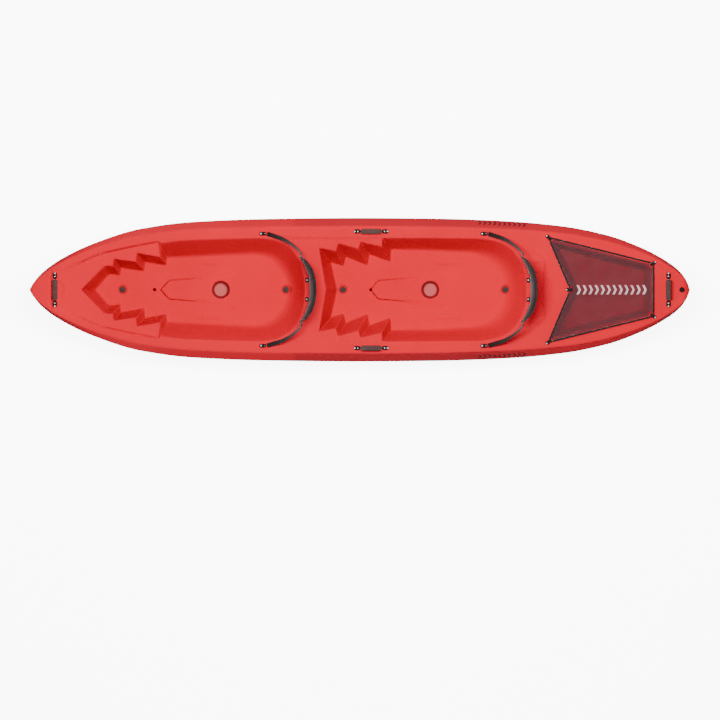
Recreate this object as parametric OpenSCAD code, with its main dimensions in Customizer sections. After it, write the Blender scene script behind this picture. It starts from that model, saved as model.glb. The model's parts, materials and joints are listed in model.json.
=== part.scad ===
// Tandem sit-on-top kayak. Millimetres, +Z up, +X towards the stern, +Y to starboard.
// The origin is under the middle of the boat, on the surface that the keel rests on.

/* [Hull] */
// Greatest width of the hull
hull_beam = 820; // [800:2:840]
// Thickness of the moulded plastic wall
wall = 4; // [3.5:0.5:5]
// Height of the footwell floors above the keel
footwell_z = 118; // [110:1:125]
// Height of the two seat floors above the keel
seat_z = 140; // [132:1:150]
// Height of the cargo well floor above the keel
cargo_floor_z = 190; // [180:1:200]
// Half width of the flat keel plank
keel_half = 50; // [40:1:60]

/* [Drains and cup holders] */
// Radius of the four large scupper bores
scupper_r = 15.3; // [14:0.1:17]
// Radius of the dish round each large scupper
scupper_dish_r = 25; // [23:0.5:28]
// Radius of the two small open drains
drain_r = 8; // [6:0.5:10]
// Radius of the cup holders
cup_r = 38; // [35:0.5:42]
// Depth of the cup holders
cup_depth = 62; // [50:1:66]
// Gap between a plug and its bore
plug_gap = 0.3; // [0.2:0.1:0.5]

/* [Carry handles] */
// Length of a handle over its two end pads
handle_length = 200; // [190:1:210]
// Length of the rubber grip
grip_length = 124; // [110:1:130]
// Width of the rubber grip
grip_width = 31; // [26:1:34]
// Thickness of the rubber grip
grip_thickness = 11; // [9:0.5:13]
// Height of the grip's middle above the deck
grip_height = 32; // [28:1:36]

/* [Seats] */
// Width of a backrest
backrest_width = 380; // [360:2:400]
// Height of a backrest
backrest_height = 190; // [180:1:200]
// Thickness of a backrest
backrest_thickness = 24; // [20:1:28]
// Width of the webbing
webbing = 25; // [20:1:30]

/* [Cargo cover] */
// Diameter of the shock cord
bungee_d = 8; // [6:1:10]
// Thickness of the mesh sheet
mesh_t = 1.6; // [1.2:0.2:2]

/* [Hidden] */
red = [0.85, 0.13, 0.13];
charcoal = [0.2, 0.18, 0.18];
black = [0.07, 0.06, 0.06];
steel = [0.8, 0.8, 0.8];
hinge_gap = 0.06;
screw_r = 2.1;
// Half width of the flat deck, as a share of the beam
deck_share = 0.883;
// The gunwale's inner crease runs between these shares of its line
crease_in = 0.975;
crease_out = 1.025;

// A cubic through control points that never overshoots them
function slope(p, i) = (p[i + 1][1] - p[i][1]) / (p[i + 1][0] - p[i][0]);
function knot_slope(p, i) =
    i == 0 ? slope(p, 0) :
    i == len(p) - 1 ? slope(p, i - 1) :
    let (a = slope(p, i - 1), b = slope(p, i)) a * b <= 0 ? 0 : 2 * a * b / (a + b);
function span(p, x, i = 0) = i >= len(p) - 2 || x < p[i + 1][0] ? i : span(p, x, i + 1);
function curve(p, x) =
    let (i = span(p, x), h = p[i + 1][0] - p[i][0], t = min(1, max(0, (x - p[i][0]) / h)),
         a = t * t * (3 - 2 * t), b = t * (1 - t) * (1 - t), c = t * t * (t - 1))
    p[i][1] * (1 - a) + p[i + 1][1] * a + h * (b * knot_slope(p, i) + c * knot_slope(p, i + 1));

// Lines of the hull: [distance along the boat, value]
beam_line = [[-1880, 4], [-1860, 38], [-1810, 97], [-1700, 177], [-1500, 272], [-1250, 349],
    [-950, 388], [-500, 405], [0, 410], [450, 406], [850, 391], [1150, 364], [1400, 315],
    [1600, 243], [1750, 163], [1830, 98], [1865, 45], [1880, 5]];
sheer_line = [[-1880, 421], [-1862, 428], [-1768, 428], [-1756, 425], [-1750, 407], [-1722, 407],
    [-1590, 385], [-1365, 360], [-1138, 343], [-910, 335], [-650, 330], [700, 330], [900, 325],
    [1060, 319], [1150, 318], [1260, 319], [1480, 327], [1600, 335], [1705, 345], [1735, 360],
    [1850, 360], [1868, 346], [1880, 338]];
keel_line = [[-1880, 388], [-1866, 338], [-1832, 289], [-1780, 222], [-1707, 141], [-1593, 70],
    [-1479, 35], [-1365, 20], [-1200, 8], [-1000, 0], [1000, 0], [1250, 9], [1480, 23], [1600, 34],
    [1710, 63], [1778, 106], [1824, 174], [1858, 265], [1880, 331]];
crease_line = [[-1880, 404], [-1800, 384], [-1700, 361], [-1308, 311], [-1156, 289], [-800, 266],
    [-381, 255], [-363, 228], [58, 218], [800, 221], [1100, 230], [1400, 254], [1700, 298],
    [1820, 322], [1880, 335]];
// Chine height as a share of the crease's height over the keel, and its half width as a share of the beam
chine_rise = [[-1880, 0.6], [-1500, 0.55], [-1308, 0.5], [-1092, 0.36], [-830, 0.28], [900, 0.27],
    [1300, 0.36], [1600, 0.5], [1880, 0.6]];
chine_share = [[-1880, 0.6], [-1500, 0.6], [-1100, 0.76], [-600, 0.88], [700, 0.88], [1200, 0.8],
    [1600, 0.68], [1880, 0.7]];
// Gunwale's inner crease, and how far the deck drops inside it
gunwale_line = [[-1880, 3], [-1780, 60], [-1697, 105], [-1491, 203], [-1300, 246], [-1138, 276],
    [-1024, 290], [-557, 303], [-414, 294], [127, 294], [160, 306], [571, 345], [799, 317],
    [913, 277], [1032, 180], [1060, 158], [1068, 316], [1681, 168], [1760, 120], [1880, 3]];
deck_drop = [[-1740, 0], [-1600, 14], [-1480, 22], [-1300, 22], [-1142, 20], [-1136, 0],
    [-450, 0], [-414, 9], [121, 9], [128, 0]];
ledge_line = [[700, 330], [1048, 330], [1056, 319]];
// Well rims and well floors: [distance along the boat, half width]
rim_line = [[-1880, 2], [-1700, 8], [-1590, 8], [-1585, 10], [-1451, 135], [-1405, 135],
    [-1400, 175], [-1274, 158], [-1269, 209], [-1143, 186], [-1137, 264], [-1024, 280], [-557, 294],
    [-480, 284], [-414, 256], [-357, 198], [-325, 110], [-312, 20], [-300, 16], [-245, 236],
    [-232, 239], [-137, 219], [-122, 265], [-9, 233], [5, 274], [124, 245], [128, 294], [736, 291],
    [829, 266], [899, 212], [932, 140], [950, 24], [975, 20], [1060, 140], [1068, 300],
    [1076, 293], [1672, 146], [1700, 90], [1880, 2]];
floor_line = [[-1880, 1], [-1590, 4], [-1508, 8], [-1429, 95], [-1365, 84], [-1360, 129],
    [-1229, 107], [-1223, 163], [-1104, 141], [-1098, 186], [-1024, 190], [-682, 212], [-500, 209],
    [-414, 152], [-374, 78], [-361, 12], [-312, 8], [-300, 8], [-245, 150], [-166, 158], [-93, 137],
    [-79, 190], [43, 140], [55, 204], [173, 161], [178, 233], [689, 224], [782, 204], [852, 163],
    [880, 105], [890, 20], [950, 16], [975, 12], [1060, 90], [1068, 240], [1635, 118], [1672, 100],
    [1880, 1]];
// Share of the full well depth reached on the centreline
depth_line = [[-1585, 0], [-1508, 1], [-361, 1], [-312, 0], [-232, 0], [-166, 1], [890, 1], [950, 0],
    [1078, 0], [1115, 1], [1637, 1], [1668, 0]];
floor_z_line = [[-1508, footwell_z], [-1140, footwell_z], [-800, seat_z - 1], [-600, seat_z],
    [-361, seat_z], [-312, footwell_z], [55, footwell_z], [392, seat_z - 1], [600, seat_z],
    [900, seat_z], [1000, cargo_floor_z], [1880, cargo_floor_z]];
// How far the middle of a transverse wall lies behind its ends
vee_line = [[-300, 0], [-240, 40], [-150, 36], [-60, 0], [1060, 0], [1068, 126], [1115, 126], [1420, 0]];

stations = [-1880, -1874, -1862, -1845, -1820, -1790, -1768, -1756, -1750, -1722, -1660, -1590, -1585,
    -1545, -1508, -1451, -1429, -1405, -1400, -1365, -1360, -1320, -1274, -1269, -1229, -1223,
    -1143, -1137, -1104, -1098, -1024, -910, -780, -650, -557, -500, -450, -414, -381, -363, -340,
    -325, -312, -300, -245, -232, -200, -166, -137, -122, -93, -79, -40, -9, 5, 43, 55, 100, 124,
    128, 173, 178, 260, 350, 470, 600, 689, 736, 782, 829, 852, 880, 890, 899, 932, 950, 975, 1032, 1048,
    1056, 1060, 1068, 1078, 1115, 1180, 1260, 1370, 1480, 1560, 1637, 1668, 1681, 1705, 1735, 1780,
    1815, 1840, 1850, 1860, 1868, 1875, 1880];

function beam(x) = curve(beam_line, x) * hull_beam / 820;
function sheer(x) = curve(sheer_line, x);
function ledge(x) =
    x < 700 ? sheer(x) - lookup(x, deck_drop) :
    x > 1056 ? sheer(x) :
    max(sheer(x), lookup(x, ledge_line));
function keel(x) = curve(keel_line, x);
function crease(x) = min(curve(crease_line, x), sheer(x) - 3);
function gunwale(x) = lookup(x, gunwale_line);
function rim(x) = min(lookup(x, rim_line), 0.95 * gunwale(x));
function floor_edge(x) = min(lookup(x, floor_line), 0.9 * rim(x));
function depth(x) = lookup(x, depth_line);
function floor_z(x) = lookup(x, floor_z_line);
function deck_z(x) = ledge(x) - depth(x) * (ledge(x) - floor_z(x));
function vee(x) = lookup(x, vee_line);
function set_back(x, y) = x + vee(x) * max(0, 1 - abs(y) / 300);

// Half of a section, from the deck's centreline round to the keel: deck height, floor's and rim's half
// width, ledge and gunwale heights, beam, keel height, chine's half width and height
function half_section(x, z, e, r, l, s, b, k, c, cz) =
    let (w = crease(x), g = gunwale(x))
    [[0, z], [e / 2, z], [e, z], [r, l], [max(crease_in * g, r + 0.3), l],
     [max(crease_out * g, r + 0.6), s], [deck_share * b, s], [b, w],
     [(b + c) / 2 + 0.02 * b, (w + cz) / 2], [c, cz], [0.62 * c, k + 0.3 * (cz - k)],
     [min(keel_half, 0.3 * c), k], [0, k]];
function chine_z(x) = keel(x) + (crease(x) - keel(x)) * lookup(x, chine_rise);
function outer_half(x) =
    half_section(x, deck_z(x), floor_edge(x), rim(x), ledge(x), sheer(x), beam(x), keel(x),
        curve(chine_share, x) * beam(x), chine_z(x));
// The same section moved in by the wall, with its deck side taken a wall to either side along the boat
function inner_half(x) =
    let (near = [x - wall, x, x + wall],
         r = max([for (n = near) rim(n)]) + 1.3 * wall,
         e = max([for (n = near) floor_edge(n)]) + wall / 2)
    half_section(x, min([for (n = near) deck_z(n)]) - wall, min(e, 0.95 * r), r,
        min([for (n = near) ledge(n)]) - wall, sheer(x) - wall, beam(x) - wall, keel(x) + wall,
        curve(chine_share, x) * beam(x) - 0.8 * wall, chine_z(x) + 0.6 * wall);

function whole(x, half) = [
    for (p = half) [set_back(x, p[0]), p[0], p[1]],
    for (i = [len(half) - 2 : -1 : 1]) [set_back(x, half[i][0]), -half[i][0], half[i][1]]];
function middle(ring) = [for (i = [0 : 2]) let (v = [for (p = ring) p[i]]) (min(v) + max(v)) / 2];
// A closed skin over rings of points, with a fan of triangles over each end
module loft(rings) {
    n = len(rings[0]);
    last = (len(rings) - 1) * n;
    hub = len(rings) * n;
    faces = [
        for (i = [0 : len(rings) - 2], j = [0 : n - 1]) let (a = i * n, k = (j + 1) % n)
            each [[a + j, a + k, a + n + k], [a + j, a + n + k, a + n + j]],
        for (j = [0 : n - 1]) [(j + 1) % n, j, hub],
        for (j = [0 : n - 1]) [last + j, last + (j + 1) % n, hub + 1]];
    points = [for (r = rings) each r, middle(rings[0]), middle(rings[len(rings) - 1])];
    polyhedron(points, faces, convexity = 8);
}

// Places along the boat
scuppers = [-1351, -421, -96, 829];
drains = [-1169, 62];
cups = [-791, 401];
drain_plug_x = 1835;
// Radii of the drain socket: its body, its flange and its bore
socket_r = 10;
socket_flange_r = 15;
socket_bore = 7.3;
// Outline of a console between the paddler's legs, from its tip aft: [distance from the cup, half width]
console_outline = [[-342, 6], [-295, 53], [-35, 74], [150, 78]];
console_z = seat_z + 1;
// The cup holders widen by this much to their mouths
cup_flare = 12;
// Depth of the dish round a large scupper
dish_depth = 9;

module both_sides(points) {
    polygon([each points, for (i = [len(points) - 1 : -1 : 0]) [points[i][0], -points[i][1]]]);
}
module console(x, inset) {
    translate([x, 0, footwell_z - 10]) linear_extrude(console_z - footwell_z + 10 - inset)
        both_sides([for (p = console_outline) [p[0] + inset * sign(-p[0]), p[1] - inset]]);
}
module tube(x, r, z0, z1) {
    translate([x, 0, z0]) cylinder(r = r, h = z1 - z0, $fn = 48);
}

module cup(x, grow) {
    translate([x, 0, console_z - cup_depth - grow])
        cylinder(r1 = cup_r + grow, r2 = cup_r + cup_flare + grow, h = cup_depth + grow - sign(grow), $fn = 64);
}

module hull() {
    color(red)
    difference() {
        union() {
            difference() {
                union() {
                    loft([for (x = stations) whole(x, outer_half(x))]);
                    for (x = cups) console(x, 0);
                }
                loft([for (x = stations) if (x > -1840 && x < 1855) whole(x, inner_half(x))]);
                for (x = cups) console(x, wall);
            }
            for (x = scuppers) tube(x, scupper_dish_r + 3, keel(x) + 2, floor_z(x) - 2);
            for (x = drains) tube(x, drain_r + 4, keel(x) + 2, floor_z(x) - 2);
            for (x = cups) cup(x, wall);
        }
        for (x = scuppers) tube(x, scupper_r, -5, 200);
        for (x = scuppers) tube(x, scupper_dish_r, floor_z(x) - dish_depth, 200);
        for (x = drains) tube(x, drain_r, -5, 200);
        tube(drain_plug_x, socket_r + 0.1, 330, 400);
        for (x = cups) cup(x, 0);
    }
}

// A plate with round ends, its length along X
module round_plate(length, width, height) {
    linear_extrude(height) union() {
        square([length - width, width], center = true);
        for (side = [-1, 1]) translate([side * (length - width) / 2, 0]) circle(d = width, $fn = 32);
    }
}
// A pan head screw with its head's seat at the origin, pointing down
module screw(length, head_r) {
    cylinder(r = head_r, h = 1.4, $fn = 24);
    translate([0, 0, 1.4]) cylinder(r1 = head_r, r2 = head_r * 0.6, h = 1, $fn = 24);
    translate([0, 0, -length]) cylinder(r = screw_r, h = length, $fn = 24);
}

// Hull drain at the stern: socket, gasket and turn plug, each on the one below
deck_at_plug = 360;
module drain_socket() {
    color(charcoal) translate([drain_plug_x, 0, deck_at_plug]) difference() {
        union() {
            cylinder(r = socket_flange_r, h = 3, $fn = 48);
            translate([0, 0, -20]) cylinder(r = socket_r, h = 20, $fn = 48);
        }
        translate([0, 0, -21]) cylinder(r = socket_bore, h = 30, $fn = 48);
    }
}
module drain_gasket() {
    color(black) translate([drain_plug_x, 0, deck_at_plug + 3.3]) difference() {
        cylinder(r = 10.5, h = 1.5, $fn = 48);
        translate([0, 0, -1]) cylinder(r = 7.05, h = 4, $fn = 48);
    }
}
module drain_plug() {
    color(charcoal) translate([drain_plug_x, 0, deck_at_plug + 4.8]) {
        cylinder(r = 11.5, h = 4.7, $fn = 48);
        translate([0, 0, -14]) cylinder(r = 7, h = 14, $fn = 48);
        translate([0, 0, 4.7]) intersection() {
            translate([-10, -2, 0]) cube([20, 4, 2.5]);
            cylinder(r = 10, h = 3, $fn = 48);
        }
    }
}

// Rubber bung with a pull ring, standing in the dish of a scupper
module scupper_plug(i) {
    seat = floor_z(scuppers[i]) - dish_depth + plug_gap;
    color(charcoal) translate([scuppers[i], 0, seat]) {
        cylinder(r = 18.5, h = 4, $fn = 48);
        translate([0, 0, -40]) cylinder(r = scupper_r - plug_gap, h = 40, $fn = 48);
        translate([0, 0, 4]) rotate([90, 0, 0])
            rotate_extrude(angle = 180, $fn = 32) translate([8, 0]) circle(r = 2, $fn = 16);
    }
}
module front_footwell_plug() scupper_plug(0);
module front_seat_plug() scupper_plug(1);
module rear_footwell_plug() scupper_plug(2);
module rear_seat_plug() scupper_plug(3);

// Carry handles: [x, y, deck height, turn about Z]; the length runs along local Y
BOW = [-1736, 0, 407, 0];
STERN = [1758, 0, 360, 0];
PORT = [65, -332, 330, 90];
STARBOARD = [65, 332, 330, 90];
handles = [BOW, STERN, PORT, STARBOARD];
pad_length = 39;
pad_height = 9;
pad_inner = handle_length / 2 - pad_length;
pivot_z = 5.5;
handle_screw_y = [handle_length / 2 - 6.5, handle_length / 2 - 24.5];
module at_handle(h) {
    translate([h[0], h[1], h[2]]) rotate([0, 0, h[3]]) children();
}
module handle_pads(h) {
    color(black) at_handle(h) for (side = [0, 180]) rotate([0, 0, side]) difference() {
        translate([0, pad_inner + pad_length / 2, 0]) rotate([0, 0, 90])
            round_plate(pad_length, 25, pad_height);
        translate([0, pad_inner - 1, pivot_z]) rotate([-90, 0, 0])
            cylinder(r = 3 + hinge_gap, h = 11, $fn = 32);
        for (y = handle_screw_y) translate([0, y, -1]) cylinder(r = screw_r + 0.3, h = 20, $fn = 24);
    }
}
module handle_strap(h) {
    post_y = pad_inner - 6;
    color(black) at_handle(h) {
        for (side = [0, 180]) rotate([0, 0, side]) {
            translate([0, post_y, pivot_z]) rotate([-90, 0, 0]) cylinder(r = 3, h = 14, $fn = 32);
            translate([0, post_y + 4, pivot_z]) rotate([90, 0, 0]) linear_extrude(4) union() {
                circle(r = 4.5, $fn = 32);
                polygon([[-4.4, 0], [4.4, 0], [10, 14], [10, grip_height - pivot_z + 1.5],
                    [-10, grip_height - pivot_z + 1.5], [-10, 14]]);
            }
        }
        translate([-10, -post_y - 1, grip_height - 1.5]) cube([20, 2 * post_y + 2, 3]);
    }
}
module handle_grip(h) {
    length = min(grip_length, 2 * (pad_inner - 7));
    color(charcoal) at_handle(h) translate([0, 0, grip_height]) rotate([90, 0, 0])
        linear_extrude(length, center = true) difference() {
            union() {
                square([grip_width - grip_thickness, grip_thickness], center = true);
                for (side = [-1, 1]) translate([side * (grip_width - grip_thickness) / 2, 0])
                    circle(d = grip_thickness, $fn = 32);
            }
            square([20.4, 3.4], center = true);
        }
}
module bow_handle_pads() handle_pads(BOW);
module bow_handle_strap() handle_strap(BOW);
module bow_handle_grip() handle_grip(BOW);
module stern_handle_pads() handle_pads(STERN);
module stern_handle_strap() handle_strap(STERN);
module stern_handle_grip() handle_grip(STERN);
module port_handle_pads() handle_pads(PORT);
module port_handle_strap() handle_strap(PORT);
module port_handle_grip() handle_grip(PORT);
module starboard_handle_pads() handle_pads(STARBOARD);
module starboard_handle_strap() handle_strap(STARBOARD);
module starboard_handle_grip() handle_grip(STARBOARD);
module handle_screws() {
    color(steel) for (h = handles, y = handle_screw_y, side = [-1, 1])
        at_handle(h) translate([0, side * y, pad_height]) screw(17, 4);
}

// A closed slab between two grids of points that have the same size
module slab(upper, lower) {
    rows = len(upper);
    n = len(upper[0]);
    all = rows * n;
    faces = [
        for (i = [0 : rows - 2], j = [0 : n - 2]) let (a = i * n + j)
            each [[a, a + 1, a + n + 1], [a, a + n + 1, a + n],
                [all + a, all + a + n + 1, all + a + 1], [all + a, all + a + n, all + a + n + 1]],
        for (i = [0 : rows - 2]) let (a = i * n, b = i * n + n - 1)
            each [[a, a + n, all + a + n], [a, all + a + n, all + a],
                [b, all + b + n, b + n], [b, all + b, all + b + n]],
        for (j = [0 : n - 2]) let (a = j, b = (rows - 1) * n + j)
            each [[a, all + a + 1, a + 1], [a, all + a, all + a + 1],
                [b, b + 1, all + b + 1], [b, all + b + 1, all + b]]];
    polyhedron([for (row = upper) each row, for (row = lower) each row], faces, convexity = 4);
}

// Backrests. The front one is drawn in place and the rear one stands further aft
hinge_x = -292;
hinge_z = 324;
rear_seat = [1260, 0, 9];
// Half width up the backrest and how far its wings reach forward: [share of the height, value]
backrest_side = [[0, 0.4], [0.06, 0.54], [0.2, 0.78], [0.45, 0.98], [0.65, 1], [0.85, 0.94], [0.95, 0.8],
    [1, 0.62]];
backrest_wing = [[0, 0], [0.15, 0.1], [0.3, 0.6], [0.6, 1], [0.85, 0.85], [1, 0.7]];
backrest_lean = [[0, 2], [0.5, 6], [0.8, 14], [0.93, 24], [1, 36]];
wing_reach = 66;
// Radius of the bead in the fold, and the backrest's clearance over the hinge line
bead_r = 2.5;
hinge_clear = 3.5;
function backrest_point(u, v, front, side) =
    let (y = u * side * backrest_width / 2 * curve(backrest_side, v),
         t = (0.35 + 0.65 * sqrt(1 - pow(abs(u * side), 3)))
             * (0.6 + 0.4 * sin(180 * min(1, 0.1 + v * 0.85))),
         bow = wing_reach * pow(y / (backrest_width / 2), 2) * lookup(v, backrest_wing))
    [hinge_x + lookup(v, backrest_lean) - bow + front * backrest_thickness * t, y,
     hinge_z + hinge_clear + v * (backrest_height - hinge_clear) - 10 * pow(abs(u * side), 2.5) * v];
backrest_rows = [0, 0.06, 0.2, 0.35, 0.5, 0.65, 0.8, 0.9, 0.96, 1];
backrest_columns = [for (i = [-8 : 8]) i / 8];
module backrest_shell(rows, front, back, side) {
    slab([for (v = rows) [for (u = backrest_columns) backrest_point(u, v, front, side)]],
        [for (v = rows) [for (u = backrest_columns) backrest_point(u, v, back, side)]]);
}
board_rows = [0.12, 0.3, 0.5, 0.65, 0.78];
module backrest() {
    color(charcoal) difference() {
        backrest_shell(backrest_rows, 0, 1, 1);
        backrest_shell([0.11, each board_rows, 0.79], 0.38, 0.64, 0.86);
    }
}
module backrest_board() {
    color(black) backrest_shell(board_rows, 0.44, 0.58, 0.84);
}
// Fabric flap that hinges the backrest to the deck, with a round bead sewn along the fold
module backrest_flap() {
    color(black) difference() {
        union() {
            translate([hinge_x - 17, -75, hinge_z - 3]) cube([17, 150, 2]);
            translate([hinge_x, -75, hinge_z]) rotate([-90, 0, 0]) cylinder(r = bead_r, h = 150, $fn = 32);
        }
        for (y = [-55, 55]) translate([hinge_x - 9, y, hinge_z - 4]) cylinder(r = screw_r + 0.3, h = 5, $fn = 24);
    }
}
module front_backrest() backrest();
module front_backrest_board() backrest_board();
module front_backrest_flap() backrest_flap();
module rear_backrest() translate(rear_seat) backrest();
module rear_backrest_board() translate(rear_seat) backrest_board();
module rear_backrest_flap() translate(rear_seat) backrest_flap();
module flap_screws() {
    color(steel) for (at = [[0, 0, 0], rear_seat], y = [-55, 55])
        translate(at + [hinge_x - 9, y, hinge_z - 1]) screw(10, 3.5);
}

// Seat straps, from the gunwale up to the backrest: [x, y, z, twist]
strap_route = [[-528, 318, 334.5, 0], [-506, 312, 336, 0], [-484, 305, 346, 12], [-440, 290, 373, 35],
    [-395, 264, 401, 50], [-362, 238, 421, 58], [-338, 213, 436, 64]];
strap_t = 2;
strap_steps = 24;
// One coordinate of the strap's route, at a share of its length
function along(s, k) =
    let (last = len(strap_route) - 1)
    curve([for (i = [0 : last]) [i, strap_route[i][k]]], s * last);
function strap_place(s) = [for (k = [0 : 2]) along(s, k)];
function strap_ring(s, at) =
    let (d0 = strap_place(min(1, s + 0.02)) - strap_place(max(0, s - 0.02)), d = d0 / norm(d0),
         flat = cross([0, 0, 1], d) / norm(cross([0, 0, 1], d)), up = cross(d, flat), a = along(s, 3),
         w = (flat * cos(a) + up * sin(a)) * webbing / 2, t = cross(d, w) / norm(w) * strap_t / 2,
         c = strap_place(s))
    [for (k = [[1, 1], [-1, 1], [-1, -1], [1, -1]])
        c + w * k[0] + t * k[1] + [at[0], 0, s * at[2]]];
module seat_strap(at) {
    color(black) loft([for (i = [strap_steps : -1 : 0]) strap_ring(i / strap_steps, at)]);
}
module front_port_strap() mirror([0, 1, 0]) seat_strap([0, 0, 0]);
module front_starboard_strap() seat_strap([0, 0, 0]);
module rear_port_strap() mirror([0, 1, 0]) seat_strap(rear_seat);
module rear_starboard_strap() seat_strap(rear_seat);
// Ladder buckle at each side of a backrest
module strap_buckles(at) {
    color(black) translate(at) for (side = [-1, 1])
        translate([-330, side * 203, 441]) rotate([0, 0, side * 40]) difference() {
            cube([9, 4, 34], center = true);
            cube([3, 6, 27], center = true);
        }
}
module front_strap_buckles() strap_buckles([0, 0, 0]);
module rear_strap_buckles() strap_buckles(rear_seat);
// Bracket that holds a strap's lower end on the gunwale
anchor_x = -552;
module strap_anchors(at) {
    color(black) for (side = [-1, 1]) translate([anchor_x + at[0], side * 319, 330]) difference() {
        union() {
            round_plate(40, 22, 3);
            translate([-5, -7, 0]) cube([10, 14, 5.5]);
        }
        for (x = [-10, 10]) translate([x, 0, -4]) cylinder(r = screw_r + 0.3, h = 12, $fn = 24);
    }
}
module front_strap_anchors() strap_anchors([0, 0, 0]);
module rear_strap_anchors() strap_anchors(rear_seat);
module anchor_screws() {
    color(steel) for (at = [[0, 0, 0], rear_seat], side = [-1, 1], x = [-10, 10])
        translate([anchor_x + at[0] + x, side * 319, 333]) screw(12, 4);
}

// Cargo cover: shock cord round the well through five hooks, with a mesh in it
cover_lift = 8;
notch = [1200, 0];
front_corner = [1075, 298];
back_corner = [1672, 150];
function mid(a, b, t) = a + (b - a) * t;
// Height of the deck under the cover
function cover_deck(x) = sheer(max(x, 1078));
function lifted(p) = [p[0], p[1], cover_deck(p[0]) + cover_lift];
// One half of the cord's line, from the notch to the middle of the aft edge
half_cord = [
    for (t = [0.03, 0.3, 0.6, 0.9, 0.97]) mid(notch, front_corner, t),
    for (t = [0.015, 0.05, 0.2, 0.35, 0.5, 0.65, 0.8, 0.95, 0.985]) mid(front_corner, back_corner, t),
    for (t = [0.04, 0.15, 0.6]) mid(back_corner, [back_corner[0], 0], t)];
cord_line = [
    for (p = half_cord) lifted(p),
    for (i = [len(half_cord) - 1 : -1 : 0]) lifted([half_cord[i][0], -half_cord[i][1]])];
// A closed loop of round cord
module cord_loop(line, r, sides) {
    n = len(line);
    points = [for (i = [0 : n - 1])
        let (a = line[(i + n - 1) % n], b = line[(i + 1) % n], d = (b - a) / norm(b - a),
             out = cross(d, [0, 0, 1]) / norm(cross(d, [0, 0, 1])))
        for (k = [0 : sides - 1]) let (turn = 360 * k / sides)
            line[i] + r * (out * cos(turn) + [0, 0, 1] * sin(turn))];
    faces = [for (i = [0 : n - 1], k = [0 : sides - 1])
        let (a = i * sides, b = ((i + 1) % n) * sides, m = (k + 1) % sides)
        each [[a + k, a + m, b + m], [a + k, b + m, b + k]]];
    polyhedron(points, faces, convexity = 6);
}
module cargo_bungee() {
    color(black) cord_loop(cord_line, bungee_d / 2, 8);
}
// Hooks: [x, y, turn about Z]
function hooked(corner, turn) = [corner[0] - 5 * cos(turn), corner[1] - 5 * sin(turn), turn];
hook_places = [hooked(notch - [9, 0], 180), hooked(front_corner, 139), hooked(back_corner, 38),
    hooked([front_corner[0], -front_corner[1]], -139), hooked([back_corner[0], -back_corner[1]], -38)];
hook_arch_r = 12.5;
// A hook's plate lies along the deck, with a hair's room under it
function hook_z(p) = 0.5 + max(cover_deck(p[0]), p[0] < 1300 ? sheer(1060) : 0);
function deck_tilt(x) = atan2(cover_deck(x + 20) - cover_deck(x - 20), 40);
module at_hooks() {
    for (p = hook_places)
        translate([p[0], p[1], hook_z(p)]) rotate([0, -deck_tilt(p[0]), 0]) rotate([0, 0, p[2]]) children();
}
module cargo_hooks() {
    color(black) at_hooks() {
        difference() {
            translate([4, 0, 0]) round_plate(40, 20, 2.4);
            translate([18.2, 0, -1]) cylinder(r = screw_r + 0.3, h = 6, $fn = 24);
        }
        translate([0, 0, 2]) rotate([90, 0, 0]) intersection() {
            rotate_extrude($fn = 32) translate([hook_arch_r, 0]) circle(r = 1.8, $fn = 16);
            translate([-20, 0, -3]) cube([40, 20, 6]);
        }
    }
}
module cargo_hook_screws() {
    color(steel) at_hooks() translate([18.2, 0, 2.4]) screw(12, 3.5);
}
// Room round each hook in the sleeve and in the mesh
module hook_room(r) {
    for (p = hook_places) translate([p[0], p[1], hook_z(p)]) cylinder(r = r, h = 50, center = true, $fn = 24);
}
// Sleeve of the mesh round the cord, open at the hooks
module mesh_hem() {
    color(black) difference() {
        cord_loop(cord_line, bungee_d / 2 + 1.5, 8);
        cord_loop(cord_line, bungee_d / 2 + 0.3, 8);
        hook_room(20);
    }
}
mesh_inset = bungee_d / 2 + 2;
function mesh_point(u, v, z) =
    let (side = abs(v), tip = [notch[0] + 1.1 * mesh_inset, 0],
         front = mid(tip, front_corner + [1.6, -1.45] * mesh_inset, side),
         back = [back_corner[0] - mesh_inset, (back_corner[1] - 1.3 * mesh_inset) * side],
         p = mid(front, back, u))
    [p[0], sign(v) * p[1], cover_deck(p[0]) + cover_lift + z];
function mesh_face(z) = [for (v = [-1 : 0.25 : 1]) [for (u = [0 : 0.1 : 1]) mesh_point(u, v, z)]];
module cargo_mesh() {
    color(charcoal) difference() {
        slab(mesh_face(-mesh_t / 2), mesh_face(mesh_t / 2));
        hook_room(18);
    }
}

hull();
drain_socket();
drain_gasket();
drain_plug();
front_footwell_plug();
front_seat_plug();
rear_footwell_plug();
rear_seat_plug();
bow_handle_pads();
bow_handle_strap();
bow_handle_grip();
stern_handle_pads();
stern_handle_strap();
stern_handle_grip();
port_handle_pads();
port_handle_strap();
port_handle_grip();
starboard_handle_pads();
starboard_handle_strap();
starboard_handle_grip();
handle_screws();
front_backrest();
front_backrest_board();
front_backrest_flap();
rear_backrest();
rear_backrest_board();
rear_backrest_flap();
flap_screws();
front_port_strap();
front_starboard_strap();
rear_port_strap();
rear_starboard_strap();
front_strap_buckles();
rear_strap_buckles();
front_strap_anchors();
rear_strap_anchors();
anchor_screws();
cargo_bungee();
cargo_hooks();
cargo_hook_screws();
mesh_hem();
cargo_mesh();
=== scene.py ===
# %% [markdown]
# # A two-seat sit-on-top kayak
# A rotomoulded kayak is one hollow shell of polyethylene with fittings screwed to it.
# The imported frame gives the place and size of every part. This script dresses that frame:
# it builds a finer skin for the hull, soft seats, woven straps and a mesh cover, and gives
# each piece a material that is worked out from nodes.

# %% Load the frame
import json
import math
import bmesh
import bpy
import numpy as np
from mathutils import Matrix, Vector, geometry, kdtree

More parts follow.
